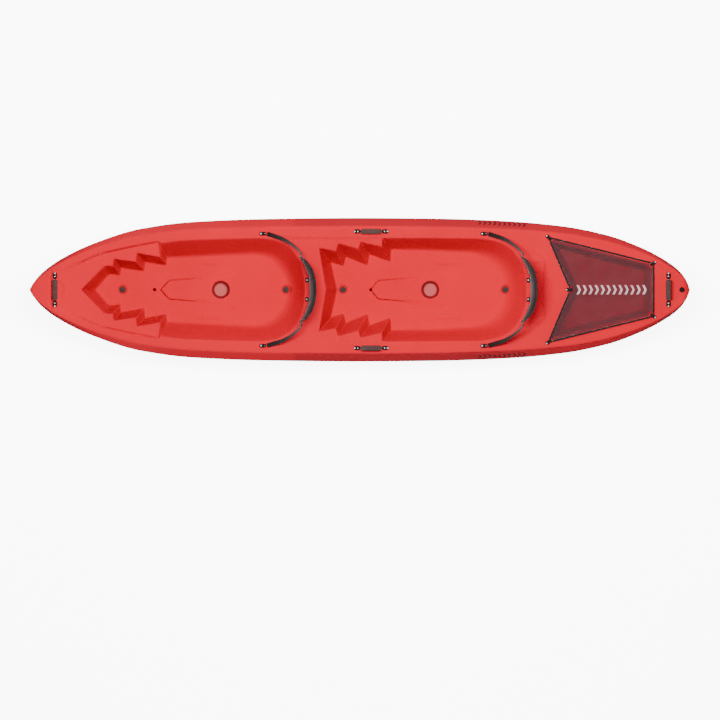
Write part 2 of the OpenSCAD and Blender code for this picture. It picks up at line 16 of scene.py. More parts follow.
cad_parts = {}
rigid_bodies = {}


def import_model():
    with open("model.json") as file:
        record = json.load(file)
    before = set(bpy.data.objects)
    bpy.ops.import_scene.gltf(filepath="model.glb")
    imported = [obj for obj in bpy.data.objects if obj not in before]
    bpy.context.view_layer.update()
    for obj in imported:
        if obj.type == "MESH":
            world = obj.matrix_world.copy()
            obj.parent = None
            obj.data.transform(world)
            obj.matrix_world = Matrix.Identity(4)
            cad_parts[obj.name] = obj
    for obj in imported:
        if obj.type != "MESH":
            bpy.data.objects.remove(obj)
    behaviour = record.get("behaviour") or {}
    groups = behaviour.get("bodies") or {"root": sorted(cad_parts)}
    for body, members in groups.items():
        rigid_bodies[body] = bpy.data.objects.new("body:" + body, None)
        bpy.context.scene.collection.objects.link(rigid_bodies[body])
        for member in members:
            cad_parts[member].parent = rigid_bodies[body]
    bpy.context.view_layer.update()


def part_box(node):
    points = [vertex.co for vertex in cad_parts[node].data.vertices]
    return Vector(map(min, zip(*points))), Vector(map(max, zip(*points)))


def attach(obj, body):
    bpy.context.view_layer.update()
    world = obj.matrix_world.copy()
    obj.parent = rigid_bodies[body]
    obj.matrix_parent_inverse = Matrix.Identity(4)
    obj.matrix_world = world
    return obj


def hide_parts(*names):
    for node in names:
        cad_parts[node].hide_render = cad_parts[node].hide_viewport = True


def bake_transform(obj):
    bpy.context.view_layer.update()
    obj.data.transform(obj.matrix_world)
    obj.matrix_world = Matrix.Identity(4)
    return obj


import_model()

MM = 0.001

# %% [markdown]
# ## Camera, floor and light
# A plan view shows every fitting of a boat, so the camera looks straight down. An
# orthographic lens keeps the ends as large as the middle, as a drawing does. The boat sits
# above the middle of the picture. The floor glows, and it is hidden from the rays that bounce
# off the boat, so it looks white without lighting the boat. The lamps are hidden from glossy
# rays, so that no lamp shows as a shape in the plastic.

# %% Camera
PICTURE_WIDTH = 4.10
PLAN_OFFSET = 0.400
CAMERA_HEIGHT = 6.0


def look_down():
    data = bpy.data.cameras.new("plan_camera")
    data.type = "ORTHO"
    data.ortho_scale = PICTURE_WIDTH
    camera = bpy.data.objects.new("plan_camera", data)
    camera.location = (0.0014, -PLAN_OFFSET, CAMERA_HEIGHT)
    bpy.context.scene.collection.objects.link(camera)
    bpy.context.scene.camera = camera
    return camera


look_down()
print("the picture is", PICTURE_WIDTH, "m wide")

# %% Floor and lights
FLOOR_SIZE = 40.0
FLOOR_GLOW = 8.0
SKY = 0.26
LAMP_POWER = 1250
SIDE_POWER = 60


def pale_floor():
    bm = bmesh.new()
    bmesh.ops.create_grid(bm, x_segments=1, y_segments=1, size=FLOOR_SIZE / 2)
    mesh = bpy.data.meshes.new("floor")
    bm.to_mesh(mesh)
    bm.free()
    floor = bpy.data.objects.new("floor", mesh)
    bpy.context.scene.collection.objects.link(floor)
    paint = bpy.data.materials.new("pale_floor")
    paint.use_nodes = True
    shader = paint.node_tree.nodes["Principled BSDF"]
    shader.inputs["Base Color"].default_value = (0.90, 0.90, 0.90, 1)
    shader.inputs["Roughness"].default_value = 0.9
    shader.inputs["Emission Color"].default_value = (1, 1, 1, 1)
    shader.inputs["Emission Strength"].default_value = FLOOR_GLOW
    mesh.materials.append(paint)
    floor.visible_diffuse = False
    floor.visible_glossy = False


def soft_box(name, place, aim, size, power):
    data = bpy.data.lights.new(name, "AREA")
    data.shape = "RECTANGLE"
    data.size, data.size_y = size
    data.energy = power
    light = bpy.data.objects.new(name, data)
    light.location = place
    light.rotation_euler = (Vector(aim) - Vector(place)).to_track_quat("-Z", "Y").to_euler()
    light.visible_glossy = False
    bpy.context.scene.collection.objects.link(light)


def sky(strength):
    world = bpy.data.worlds.new("studio")
    world.use_nodes = True
    world.node_tree.nodes["Background"].inputs["Color"].default_value = (1, 1, 1, 1)
    world.node_tree.nodes["Background"].inputs["Strength"].default_value = strength
    bpy.context.scene.world = world


pale_floor()
sky(SKY)
for side in (-1, 1):
    soft_box("low_side", (0, 4.5 * side, 0.5), (0, 0, 0.25), (5.0, 0.8), SIDE_POWER)
soft_box("overhead", (0, 0.9, 7.0), (0, 0, 0.2), (4.0, 1.6), LAMP_POWER)
print("floor, sky, one overhead soft box and two low ones")

# %% [markdown]
# ## Shared surface effects
# A moulded or woven thing is never one flat colour. Three effects are used by many pieces, so
# each is built once as a node group: mottle gives slow changes of tone, peel gives the fine
# skin of a moulding, and weave gives crossing threads. A group puts out only masks and
# heights, and each material decides what they do.

# %% Node groups
def new_group(name, inputs, outputs):
    group = bpy.data.node_groups.new(name, "ShaderNodeTree")
    for title, value in inputs:
        kind = "NodeSocketVector" if value is None else "NodeSocketFloat"
        socket = group.interface.new_socket(title, in_out="INPUT", socket_type=kind)
        if value is not None:
            socket.default_value = value
    for title in outputs:
        group.interface.new_socket(title, in_out="OUTPUT", socket_type="NodeSocketFloat")
    return group, group.nodes.new("NodeGroupInput"), group.nodes.new("NodeGroupOutput")


def math_node(tree, operation, a, b=0.5):
    node = tree.nodes.new("ShaderNodeMath")
    node.operation = operation
    for socket, value in zip(node.inputs, (a, b)):
        if isinstance(value, (int, float)):
            socket.default_value = value
        else:
            tree.links.new(value, socket)
    return node.outputs[0]


def noise_node(tree, vector, scale, detail=3.0):
    node = tree.nodes.new("ShaderNodeTexNoise")
    tree.links.new(vector, node.inputs["Vector"])
    if isinstance(scale, (int, float)):
        node.inputs["Scale"].default_value = scale
    else:
        tree.links.new(scale, node.inputs["Scale"])
    node.inputs["Detail"].default_value = detail
    return node.outputs["Fac"]


def mottle_group():
    group, source, sink = new_group("mottle", [("Vector", None), ("Scale", 6.0), ("Sharpness", 2.0)], ["Fac"])
    slow = noise_node(group, source.outputs["Vector"], source.outputs["Scale"], 5.0)
    centred = math_node(group, "SUBTRACT", slow, 0.5)
    wide = math_node(group, "MULTIPLY", centred, source.outputs["Sharpness"])
    lifted = math_node(group, "ADD", wide, 0.5)
    lifted.node.use_clamp = True
    group.links.new(lifted, sink.inputs["Fac"])
    return group


def peel_group():
    group, source, sink = new_group("peel", [("Vector", None), ("Scale", 260.0), ("Speck", 0.3)], ["Height"])
    dimples = noise_node(group, source.outputs["Vector"], source.outputs["Scale"], 2.0)
    fine_scale = math_node(group, "MULTIPLY", source.outputs["Scale"], 5.0)
    fine = noise_node(group, source.outputs["Vector"], fine_scale, 2.0)
    speck = math_node(group, "MULTIPLY", fine, source.outputs["Speck"])
    group.links.new(math_node(group, "ADD", dimples, speck), sink.inputs["Height"])
    return group


def weave_group():
    """Crossing threads: the height is high where a thread passes over."""
    group, source, sink = new_group("weave", [("Vector", None), ("Threads", 400.0)], ["Height", "Gap"])
    split = group.nodes.new("ShaderNodeSeparateXYZ")
    group.links.new(source.outputs["Vector"], split.inputs[0])
    waves = []
    for axis in ("X", "Y"):
        turn = math_node(group, "MULTIPLY", split.outputs[axis], source.outputs["Threads"])
        waves.append(math_node(group, "SINE", math_node(group, "MULTIPLY", turn, math.tau), 0))
    product = math_node(group, "MULTIPLY", waves[0], waves[1])
    lifted = math_node(group, "ADD", math_node(group, "MULTIPLY", product, 0.5), 0.5)
    group.links.new(lifted, sink.inputs["Height"])
    squares = [math_node(group, "MULTIPLY", w, w) for w in waves]
    group.links.new(math_node(group, "MULTIPLY", squares[0], squares[1]), sink.inputs["Gap"])
    return group


MOTTLE, PEEL, WEAVE = mottle_group(), peel_group(), weave_group()
print("node groups:", MOTTLE.name, PEEL.name, WEAVE.name)

# %% [markdown]
# ## Finishes
# Every finish starts as a Principled shader. A helper places a group in it, mixes two colours
# by a mask, sets a range of roughness and adds a bump. What is even all over the surface is
# typed straight on the shader's own socket. Two finishes are chosen for their looks, and aren't
# what the material is: a cup's wall is darker and its floor paler than the hull, to stand in for
# shade, and the steel of the screws is mostly not metallic, so that it stays bright.

# %% Material helpers
def finish_of(name, roughness=0.5, **sockets):
    paint = bpy.data.materials.new(name)
    paint.use_nodes = True
    shader = paint.node_tree.nodes["Principled BSDF"]
    shader.inputs["Roughness"].default_value = roughness
    for title, value in sockets.items():
        shader.inputs[title.replace("_", " ")].default_value = value
    return paint, paint.node_tree, shader


def place_of(tree, uv=False):
    return tree.nodes.new("ShaderNodeTexCoord").outputs["UV" if uv else "Object"]


def use_group(tree, group, vector, **values):
    node = tree.nodes.new("ShaderNodeGroup")
    node.node_tree = group
    tree.links.new(vector, node.inputs["Vector"])
    for title, value in values.items():
        node.inputs[title].default_value = value
    return node


def two_colours(tree, mask, dark, light, target):
    mix = tree.nodes.new("ShaderNodeMix")
    mix.data_type = "RGBA"
    tree.links.new(mask, mix.inputs["Factor"])
    mix.inputs["A"].default_value = (*dark, 1)
    mix.inputs["B"].default_value = (*light, 1)
    tree.links.new(mix.outputs["Result"], target)
    return mix


def between(tree, mask, low, high, target):
    node = tree.nodes.new("ShaderNodeMapRange")
    tree.links.new(mask, node.inputs["Value"])
    node.inputs["To Min"].default_value = low
    node.inputs["To Max"].default_value = high
    tree.links.new(node.outputs["Result"], target)


def bump(tree, height, strength, depth, shader):
    node = tree.nodes.new("ShaderNodeBump")
    node.inputs["Strength"].default_value = strength
    node.inputs["Distance"].default_value = depth
    tree.links.new(height, node.inputs["Height"])
    tree.links.new(node.outputs["Normal"], shader.inputs["Normal"])


# %% The finishes
def hull_red(name, low, high):
    """Rotomoulded polyethylene: cloudy colour, faint scuffs and an orange peel skin."""
    paint, tree, shader = finish_of(name, 0.42, Specular_IOR_Level=0.3)
    where = place_of(tree)
    cloud = use_group(tree, MOTTLE, where, Scale=3.2, Sharpness=1.6)
    two_colours(tree, cloud.outputs["Fac"], low, high, shader.inputs["Base Color"])
    scuffs = use_group(tree, MOTTLE, where, Scale=38.0, Sharpness=2.2)
    between(tree, scuffs.outputs["Fac"], 0.36, 0.50, shader.inputs["Roughness"])
    skin = use_group(tree, PEEL, where, Scale=230.0, Speck=0.25)
    bump(tree, skin.outputs["Height"], 0.10, 0.0006, shader)
    return paint


def moulded(name, dark, light, roughness, scale=420.0, grain=0.25):
    """Moulded plastic or rubber with a fine skin and a slow change of tone."""
    paint, tree, shader = finish_of(name, roughness, Specular_IOR_Level=0.4)
    where = place_of(tree)
    cloud = use_group(tree, MOTTLE, where, Scale=45.0, Sharpness=2.0)
    two_colours(tree, cloud.outputs["Fac"], dark, light, shader.inputs["Base Color"])
    between(tree, cloud.outputs["Fac"], roughness - 0.08, roughness + 0.08, shader.inputs["Roughness"])
    skin = use_group(tree, PEEL, where, Scale=scale, Speck=0.5)
    bump(tree, skin.outputs["Height"], grain, 0.0004, shader)
    return paint


def woven(name, dark, light, threads, uv=False, roughness=0.85, depth=0.0004, sheen=0.25):
    """Cloth or webbing: threads cross, and painted shade darkens the hollows between them."""
    paint, tree, shader = finish_of(name, roughness, Specular_IOR_Level=0.25, Sheen_Weight=sheen,
        Sheen_Roughness=0.5)
    where = place_of(tree, uv)
    threads_at = use_group(tree, WEAVE, where, Threads=threads)
    cloud = use_group(tree, MOTTLE, place_of(tree), Scale=25.0, Sharpness=1.4)
    # The colour mask is painted shade in the weave's hollows, times a slow random tone.
    hollow_shade_and_tone = math_node(tree, "MULTIPLY", threads_at.outputs["Height"], cloud.outputs["Fac"])
    two_colours(tree, hollow_shade_and_tone, dark, light, shader.inputs["Base Color"])
    bump(tree, threads_at.outputs["Height"], 0.6, depth, shader)
    return paint


def open_mesh(name, dark, light):
    """A see-through mesh: holes between the threads are cut by the Alpha socket."""
    paint, tree, shader = finish_of(name, 0.75, Specular_IOR_Level=0.3)
    where = place_of(tree, uv=True)
    threads = use_group(tree, WEAVE, where, Threads=MESH_THREADS)
    cloud = use_group(tree, MOTTLE, place_of(tree), Scale=12.0, Sharpness=1.5)
    two_colours(tree, cloud.outputs["Fac"], dark, light, shader.inputs["Base Color"])
    solid = math_node(tree, "LESS_THAN", threads.outputs["Gap"], MESH_OPEN)
    tree.links.new(solid, shader.inputs["Alpha"])
    bump(tree, threads.outputs["Height"], 0.5, 0.0004, shader)
    return paint


def stainless():
    paint, tree, shader = finish_of("stainless", 0.28, Metallic=0.25)
    where = place_of(tree)
    cloud = use_group(tree, MOTTLE, where, Scale=160.0, Sharpness=2.0)
    two_colours(tree, cloud.outputs["Fac"], (0.78, 0.78, 0.77), (0.90, 0.90, 0.89),
        shader.inputs["Base Color"])
    between(tree, cloud.outputs["Fac"], 0.2, 0.38, shader.inputs["Roughness"])
    return paint


MESH_THREADS, MESH_OPEN = 330.0, 0.22
RED = hull_red("hull_red", (0.43, 0.002, 0.011), (0.49, 0.003, 0.014))
# Two copies of the hull plastic: painted shade on the cup walls and painted light on the cup floors.
CUP_WALL_SHADE = hull_red("cup_wall_painted_shade", (0.17, 0.002, 0.004), (0.20, 0.003, 0.006))
CUP_FLOOR_LIGHT = hull_red("cup_floor_painted_light", (0.33, 0.050, 0.052), (0.38, 0.064, 0.066))
BLACK = moulded("moulded_black", (0.005, 0.004, 0.004), (0.010, 0.008, 0.008), 0.45)
GRIP = moulded("grip_rubber", (0.040, 0.020, 0.018), (0.060, 0.033, 0.030), 0.62, 700.0, 0.35)
BUNG = moulded("bung_rubber", (0.030, 0.018, 0.015), (0.046, 0.030, 0.026), 0.6, 600.0)
WEBBING = woven("webbing", (0.005, 0.003, 0.003), (0.022, 0.015, 0.015), 420.0, uv=True)
CLOTH = woven("backrest_cloth", (0.009, 0.006, 0.006), (0.034, 0.025, 0.024), 380.0, sheen=0.12)
BINDING = woven("binding", (0.005, 0.003, 0.003), (0.020, 0.015, 0.014), 500.0, uv=True)
CORD = woven("shock_cord", (0.003, 0.003, 0.003), (0.016, 0.013, 0.013), 330.0, uv=True, depth=0.0005)
NET = open_mesh("open_mesh", (0.040, 0.020, 0.024), (0.058, 0.034, 0.038))
STEEL = stainless()
NET_PRINT = open_mesh("net_print", (0.55, 0.40, 0.42), (0.72, 0.58, 0.60))
PRINT_DARK = moulded("dark_print", (0.060, 0.004, 0.006), (0.085, 0.008, 0.010), 0.5)
print("finishes:", len(bpy.data.materials))

# %% [markdown]
# ## The lines of the hull
# A boat is drawn by its lines: how wide it is, how high its deck edge and its keel lie, at
# each distance from the middle. The same lines drive the CAD hull, so the two agree. A cubic
# that never overshoots its points joins them. All of it is in millimetres until the end.

# %% Lines
def smooth_line(points):
    """A callable cubic through the points that doesn't overshoot them."""
    px, py = np.array(points, float).T
    step, rise = np.diff(px), np.diff(py) / np.diff(px)
    tilt = np.concatenate([rise[:1], np.zeros(len(px) - 2), rise[-1:]])
    same = rise[:-1] * rise[1:] > 0
    tilt[1:-1][same] = 2 * rise[:-1][same] * rise[1:][same] / (rise[:-1] + rise[1:])[same]

    def value(x):
        x = np.asarray(x, float)
        i = np.clip(np.searchsorted(px, x, side="right") - 1, 0, len(step) - 1)
        t = np.clip((x - px[i]) / step[i], 0, 1)
        a, b, c = t * t * (3 - 2 * t), t * (1 - t) ** 2, t * t * (t - 1)
        return py[i] * (1 - a) + py[i + 1] * a + step[i] * (b * tilt[i] + c * tilt[i + 1])

    return value


def straight_line(points):
    px, py = np.array(points, float).T
    return lambda x: np.interp(x, px, py)


END = 1880
beam_curve = smooth_line([(-1880, 4), (-1860, 38), (-1810, 97), (-1700, 177), (-1500, 272),
    (-1250, 349), (-950, 388), (-500, 405), (0, 410), (450, 406), (850, 391), (1150, 364),
    (1400, 315), (1600, 243), (1750, 163), (1830, 98), (1865, 45), (1880, 5)])
sheer = smooth_line([(-1880, 421), (-1862, 428), (-1768, 428), (-1756, 425), (-1750, 407),
    (-1722, 407), (-1590, 385), (-1365, 360), (-1138, 343), (-910, 335), (-650, 330), (700, 330),
    (900, 325), (1060, 319), (1150, 318), (1260, 319), (1480, 327), (1600, 335), (1705, 345),
    (1735, 360), (1850, 360), (1868, 346), (1880, 338)])
keel = smooth_line([(-1880, 388), (-1866, 338), (-1832, 289), (-1780, 222), (-1707, 141),
    (-1593, 70), (-1479, 35), (-1365, 20), (-1200, 8), (-1000, 0), (1000, 0), (1250, 9),
    (1480, 23), (1600, 34), (1710, 63), (1778, 106), (1824, 174), (1858, 265), (1880, 331)])
crease_curve = smooth_line([(-1880, 404), (-1800, 384), (-1700, 361), (-1308, 311), (-1156, 289),
    (-800, 266), (-381, 255), (-363, 228), (58, 218), (800, 221), (1100, 230), (1400, 254),
    (1700, 298), (1820, 322), (1880, 335)])
chine_rise = straight_line([(-1880, 0.6), (-1500, 0.55), (-1308, 0.5), (-1092, 0.36),
    (-830, 0.28), (900, 0.27), (1300, 0.36), (1600, 0.5), (1880, 0.6)])
chine_share = smooth_line([(-1880, 0.6), (-1500, 0.6), (-1100, 0.76), (-600, 0.88), (700, 0.88),
    (1200, 0.8), (1600, 0.68), (1880, 0.7)])
deck_drop = straight_line([(-1740, 0), (-1600, 17), (-1480, 26), (-1300, 26), (-1142, 23),
    (-1136, 0), (-450, 0), (-414, 9), (121, 9), (128, 0)])
floor_rise = smooth_line([(-1508, 118), (-1140, 118), (-800, 139), (-600, 140), (-361, 140),
    (-312, 118), (60, 118), (390, 139), (600, 140), (900, 140), (1000, 190), (1880, 190)])
NOSE_ROUNDING = 6
DECK_SHARE = 0.883
KEEL_HALF = 50


def beam(x):
    past = np.clip((np.abs(x) - (END - NOSE_ROUNDING)) / NOSE_ROUNDING, 0, 1)
    return beam_curve(x) * np.sqrt(1 - past * past)


def crease(x):
    return np.minimum(crease_curve(x), sheer(x) - 3)


def step(value):
    t = np.clip(value, 0, 1)
    return t * t * (3 - 2 * t)


print("beam at the middle:", 2 * float(beam(0)), "mm")

# %% [markdown]
# ## Wells, consoles and creases
# Seen from above, a well is two outlines: its rim and its smaller floor. Each corner of the
# rim belongs to a corner of the floor, and the foot braces are the saw teeth between them.
# Rings of points between the two make the walls, close together where the edge is rounded.

# %% Outlines
# A well's corners from its front to its back: rim x, rim y, floor x, floor y, rounding, blend
FRONT_WELL = [(-1585, 0, -1508, 0, 30, 9), (-1451, 135, -1429, 95, 14, 9),
    (-1405, 135, -1365, 84, 5, 6), (-1400, 175, -1360, 129, 5, 6), (-1274, 158, -1229, 107, 5, 6),
    (-1269, 209, -1223, 163, 5, 6), (-1143, 186, -1104, 141, 5, 6), (-1137, 264, -1098, 186, 6, 8),
    (-1024, 280, -1024, 190, 40, 10), (-790, 289, -790, 202, 90, 12), (-557, 294, -590, 212, 90, 18),
    (-470, 282, -510, 200, 90, 26), (-402, 245, -455, 160, 90, 32), (-350, 182, -414, 105, 90, 36),
    (-318, 90, -388, 45, 90, 38), (-312, 0, -382, 0, 90, 38)]
REAR_WELL = [(-192, 0, -132, 0, 30, 8), (-232, 239, -166, 158, 6, 6), (-137, 219, -93, 137, 5, 6),
    (-122, 265, -79, 190, 5, 6), (-9, 233, 43, 140, 5, 6), (5, 274, 55, 204, 5, 6),
    (124, 245, 174, 161, 5, 6), (128, 294, 177, 233, 6, 8), (430, 293, 430, 231, 90, 12),
    (700, 291, 650, 222, 90, 20), (800, 272, 735, 200, 90, 32), (870, 230, 795, 163, 90, 42),
    (925, 150, 840, 105, 90, 48), (948, 70, 858, 50, 90, 50), (950, 0, 862, 0, 90, 50)]
CARGO_WELL = [(1212, 0, 1245, 0, 12, 10), (1090, 270, 1128, 236, 10, 10),
    (1655, 135, 1618, 112, 12, 10), (1655, 0, 1618, 0, 90, 10)]
SIDE_CREASE = [(-1697, 105), (-1491, 203), (-1300, 246), (-1138, 276), (-1024, 290), (-557, 303),
    (-414, 294), (127, 294), (160, 306), (571, 345), (799, 317), (913, 277), (1032, 180),
    (1055, 158), (1055, 0)]
STERN_CREASE = [(1681, 150), (1760, 112), (1820, 66), (1846, 0)]
CONSOLE = [(-342, 0), (-295, 53), (-35, 74), (120, 90)]
CUPS = (-791, 401)
CONSOLE_TOP = 141
TOP_ROUNDING = 5


def rounded(corners, radii, spacing):
    """Points along a line whose corners are rounded, as many for any line with as many corners."""
    p = [np.array(c, float) for c in corners]
    cut = [0.0] * len(p)
    for i in range(1, len(p) - 1):
        near = min(np.linalg.norm(p[i] - p[i - 1]), np.linalg.norm(p[i + 1] - p[i]))
        cut[i] = min(radii[i], 0.46 * near)
    made = [p[0]]
    for i in range(1, len(p)):
        way = (p[i] - p[i - 1]) / np.linalg.norm(p[i] - p[i - 1])
        a, b = p[i - 1] + way * cut[i - 1], p[i] - way * cut[i]
        for t in np.linspace(0, 1, spacing[i - 1] + 1)[1:]:
            made.append(a + (b - a) * t)
        if i < len(p) - 1:
            out = (p[i + 1] - p[i]) / np.linalg.norm(p[i + 1] - p[i])
            c = p[i] + out * cut[i]
            for t in np.linspace(0, 1, 6)[1:]:
                made.append((1 - t) ** 2 * b + 2 * t * (1 - t) * p[i] + t * t * c)
    return np.array(made)


def distance(points, line):
    """Distance from each point to a line of straight pieces."""
    best = np.full(len(points), 1e9)
    for a, b in zip(line[:-1], line[1:]):
        way = np.subtract(b, a)
        t = np.clip((points - a) @ way / (way @ way), 0, 1)
        best = np.minimum(best, np.linalg.norm(points - a - t[:, None] * way, axis=1))
    return best


def inside(points, outline):
    """Which points lie in an outline that closes along the centreline."""
    ring = np.vstack([outline, [outline[-1][0], -1], [outline[0][0], -1]])
    x, y = points.T
    hit = np.zeros(len(points), bool)
    for (ax, ay), (bx, by) in zip(ring, np.roll(ring, -1, 0)):
        if ay != by:
            hit ^= ((ay > y) != (by > y)) & (x < (bx - ax) * (y - ay) / (by - ay) + ax)
    return hit


def signed(points, outline):
    outline = np.array(outline, float)
    return np.where(inside(points, outline), -1, 1) * distance(points, outline)


side_crease = rounded(SIDE_CREASE, [60] * 13 + [12, 0], [12] * 14)
stern_crease = rounded(STERN_CREASE, [30] * 4, [8] * 3)
consoles = [rounded([(c + x, y) for x, y in CONSOLE], [14] * 4, [8, 24, 14]) for c in CUPS]
print("points in one console's outline:", len(consoles[0]))

# %% Heights of the deck and of the floors
CREASE_RUN = 12
RECESS = [(98, 6.0), (153, 6.5)]
RECESS_FROM, RECESS_TO = 905, 1042
SCOOP = (-1712, 30, 62, 13)
RIBS = [(-942, -802, 155), (393, 568, 154)]
RIB_HALF, RIB_HEIGHT = 9, 3


def deck_height(points):
    x, y = points.T
    outside = step(signed(points, side_crease) / CREASE_RUN + 0.5)
    high = sheer(x)
    ledge = np.where(x < 700, high - deck_drop(x), np.maximum(high, 330))
    z = ledge * (1 - outside) + high * outside
    aft = step((x - RECESS_FROM) / 20) * step((RECESS_TO - x) / 6 + 0.5)
    for half, drop in RECESS:
        z = z - drop * aft * step((half - np.abs(y)) / 6 + 0.5)
    sx, half_x, half_y, depth = SCOOP
    bowl = 1 - ((x - sx) / half_x) ** 2 - (y / half_y) ** 2
    z = z - depth * np.where(x > sx - half_x, step(bowl * 1.3), 0)
    stern = step((x - 1690) / 25) * step(-signed(points, stern_crease) / 8 + 0.5)
    return z - 3.5 * stern


def floor_height(points):
    x, y = points.T
    z = floor_rise(x)
    for outline in consoles:
        tip, tail = outline[0][0], outline[-1][0]
        near = step(-signed(points, outline) / 8 + 0.5) * step((tail - x) / 90)
        z = np.where((x > tip - 20) & (x < tail + 20), z + near * np.maximum(CONSOLE_TOP - z, 0), z)
    for x0, x1, ry in RIBS:
        along = np.clip(x, x0 + 9, x1 - 9)
        off = np.hypot(x - along, np.abs(y) - ry)
        z = z + RIB_HEIGHT * step((RIB_HALF - off) / 5 + 0.5) * step((x - x0) / 60)
    return z


def well_rings(corners):
    """Rings of points from the deck over the rim, down the wall and on to the floor."""
    table = np.array(corners, float)
    rim_c, floor_c = table[:, 0:2], table[:, 2:4]
    lengths = [max(np.linalg.norm(rim_c[i + 1] - rim_c[i]), np.linalg.norm(floor_c[i + 1] - floor_c[i]))
        for i in range(len(table) - 1)]
    spacing = [max(2, math.ceil(v / 9)) for v in lengths]
    rim = rounded(rim_c, table[:, 4], spacing)
    floor = rounded(floor_c, table[:, 4] * 1.6, spacing)
    blend = rounded(np.column_stack([table[:, 5], np.cumsum([0] + lengths)]), table[:, 4], spacing)[:, 0]
    run = np.linalg.norm(floor - rim, axis=1)
    way = (floor - rim) / run[:, None]
    a, b = TOP_ROUNDING, np.minimum(blend, run - TOP_ROUNDING - 2)
    places = [np.full(len(run), -a + 2 * a * t) for t in (0, 0.25, 0.5, 0.75, 1)]
    places += [a + (run - b - a) * t for t in (0.25, 0.5, 0.75)]
    places += [run - b + 2 * b * t for t in (0, 0.15, 0.3, 0.5, 0.7, 0.85, 1)]
    rings = []
    for s in places:
        high = np.where(s < a, 1 - (s + a) ** 2 / (4 * a * run), 1 - s / run)
        high = np.where(s > run - b, (run + b - s) ** 2 / (4 * b * run), high)
        points = rim + way * s[:, None]
        points[[0, -1], 1] = 0
        z = deck_height(points) * high + floor_height(points) * (1 - high)
        rings.append(np.column_stack([points, z]))
    return rings


wells = [well_rings(c) for c in (FRONT_WELL, REAR_WELL, CARGO_WELL)]
print("points in a ring of each well:", [len(w[0]) for w in wells])

# %% [markdown]
# ## The hull's side
# Round the outside a section runs from the deck's edge out to the gunwale crease, in to the
# chine and under to the flat keel. One grid is bent into that form: its rows are stations
# along the boat and its columns run round the section, with more of them at each corner.

# %% Side
def spaced(spans):
    """Stations along the boat, each span with its own spacing."""
    made = [np.arange(a, b - 0.01, s) for a, b, s in spans]
    return np.concatenate(made + [[spans[-1][1]]])


STATIONS = spaced([(-1880, -1878, 0.5), (-1878, -1872, 1.5), (-1872, -1848, 4), (-1848, -1776, 9),
    (-1776, -1744, 3), (-1744, -390, 11.5), (-390, -354, 3), (-354, 1720, 11.9), (1720, 1744, 4),
    (1744, 1844, 8), (1844, 1872, 4), (1872, 1878, 1.5), (1878, 1880, 0.5)])


def section(x):
    """Corners of the half section at each x, each with how far its rounding reaches."""
    b, k, w = beam(x), keel(x), crease(x)
    c = chine_share(x) * b
    cz = k + (w - k) * chine_rise(x)
    d = DECK_SHARE * b
    return [((d * 0.8, sheer(x)), 0), ((d, sheer(x)), 9), ((b, w), 5),
        (((b + c) / 2 + 0.02 * b, (w + cz) / 2), 30), ((c, cz), 30),
        ((0.62 * c, k + 0.3 * (cz - k)), 60), ((np.minimum(KEEL_HALF, 0.3 * c), k), 10), ((0 * b, k), 0)]


def side_columns(x):
    corners = section(x)
    p = [np.stack(c[0], -1) for c in corners]
    reach = [c[1] for c in corners]
    cut = [np.zeros_like(x)]
    for i in range(1, len(p) - 1):
        near = np.minimum(np.linalg.norm(p[i] - p[i - 1], axis=1), np.linalg.norm(p[i + 1] - p[i], axis=1))
        cut.append(np.minimum(reach[i], 0.45 * near))
    cut.append(np.zeros_like(x))
    columns = []
    for i in range(1, len(p)):
        way = p[i] - p[i - 1]
        way = way / np.maximum(np.linalg.norm(way, axis=1), 1e-9)[:, None]
        a, b = p[i - 1] + way * cut[i - 1][:, None], p[i] - way * cut[i][:, None]
        if i > 1:
            columns += [a + (b - a) * t for t in (0.25, 0.5, 0.75)]
        columns.append(b)
        if i < len(p) - 1:
            out = p[i + 1] - p[i]
            out = out / np.maximum(np.linalg.norm(out, axis=1), 1e-9)[:, None]
            c = p[i] + out * cut[i][:, None]
            columns += [(1 - t) ** 2 * b + 2 * t * (1 - t) * p[i] + t * t * c for t in (0.25, 0.5, 0.75, 1)]
    return columns


columns = side_columns(STATIONS)
deck_line = np.column_stack([STATIONS, columns[0][:, 0]])
print("the side has", len(STATIONS), "stations and", len(columns), "columns")

# %% [markdown]
# ## The deck
# Deck and floors are nearly flat sheets that end on the rings, so their triangles have to
# follow those rings and every crease. A constrained Delaunay triangulation does that: it is
# given the lines that must be kept and a scatter of points between them.

# %% Deck triangles
GRID = 13


def crease_pair(line, gap, low, high):
    """The two edges of a crease, for the part of it between two stations."""
    line = np.array(line, float)
    way = np.gradient(line, axis=0)
    side = np.column_stack([-way[:, 1], way[:, 0]]) / np.linalg.norm(way, axis=1)[:, None]
    keep = (line[:, 0] >= low) & (line[:, 0] <= high)
    return [(line + side * g)[keep] for g in (-gap, gap)]


def deck_lines():
    lines = []
    for low, high in ((-1697, -1142), (-412, 119), (600, 1100)):
        lines += crease_pair(side_crease, CREASE_RUN / 2, low, high)
    lines += crease_pair(stern_crease, 4, 1690, 1880)
    for half, drop in RECESS:
        along = np.arange(960, RECESS_TO, 8)
        lines += [np.column_stack([along, np.full(len(along), half + g)]) for g in (-3, 3)]
    return lines


def floor_lines():
    lines = []
    for outline in consoles:
        lines += crease_pair(outline, 4, outline[0][0] - 20, outline[-1][0] - 30)
    for x0, x1, ry in RIBS:
        for off in (RIB_HALF - 2.5, RIB_HALF + 2.5):
            angles = np.linspace(math.pi / 2, 3 * math.pi / 2, 9)
            front = [(x0 + 9 + off * math.cos(t), ry + off * math.sin(t)) for t in angles]
            back = [(x1 - 9 - off * math.cos(t), ry - off * math.sin(t)) for t in angles]
            lines.append(np.array([*[(x, ry + off) for x in np.arange(x1 - 20, x0 + 9, -8)], *front,
                *[(x, ry - off) for x in np.arange(x0 + 17, x1 - 12, 8)], *back]))
    return lines


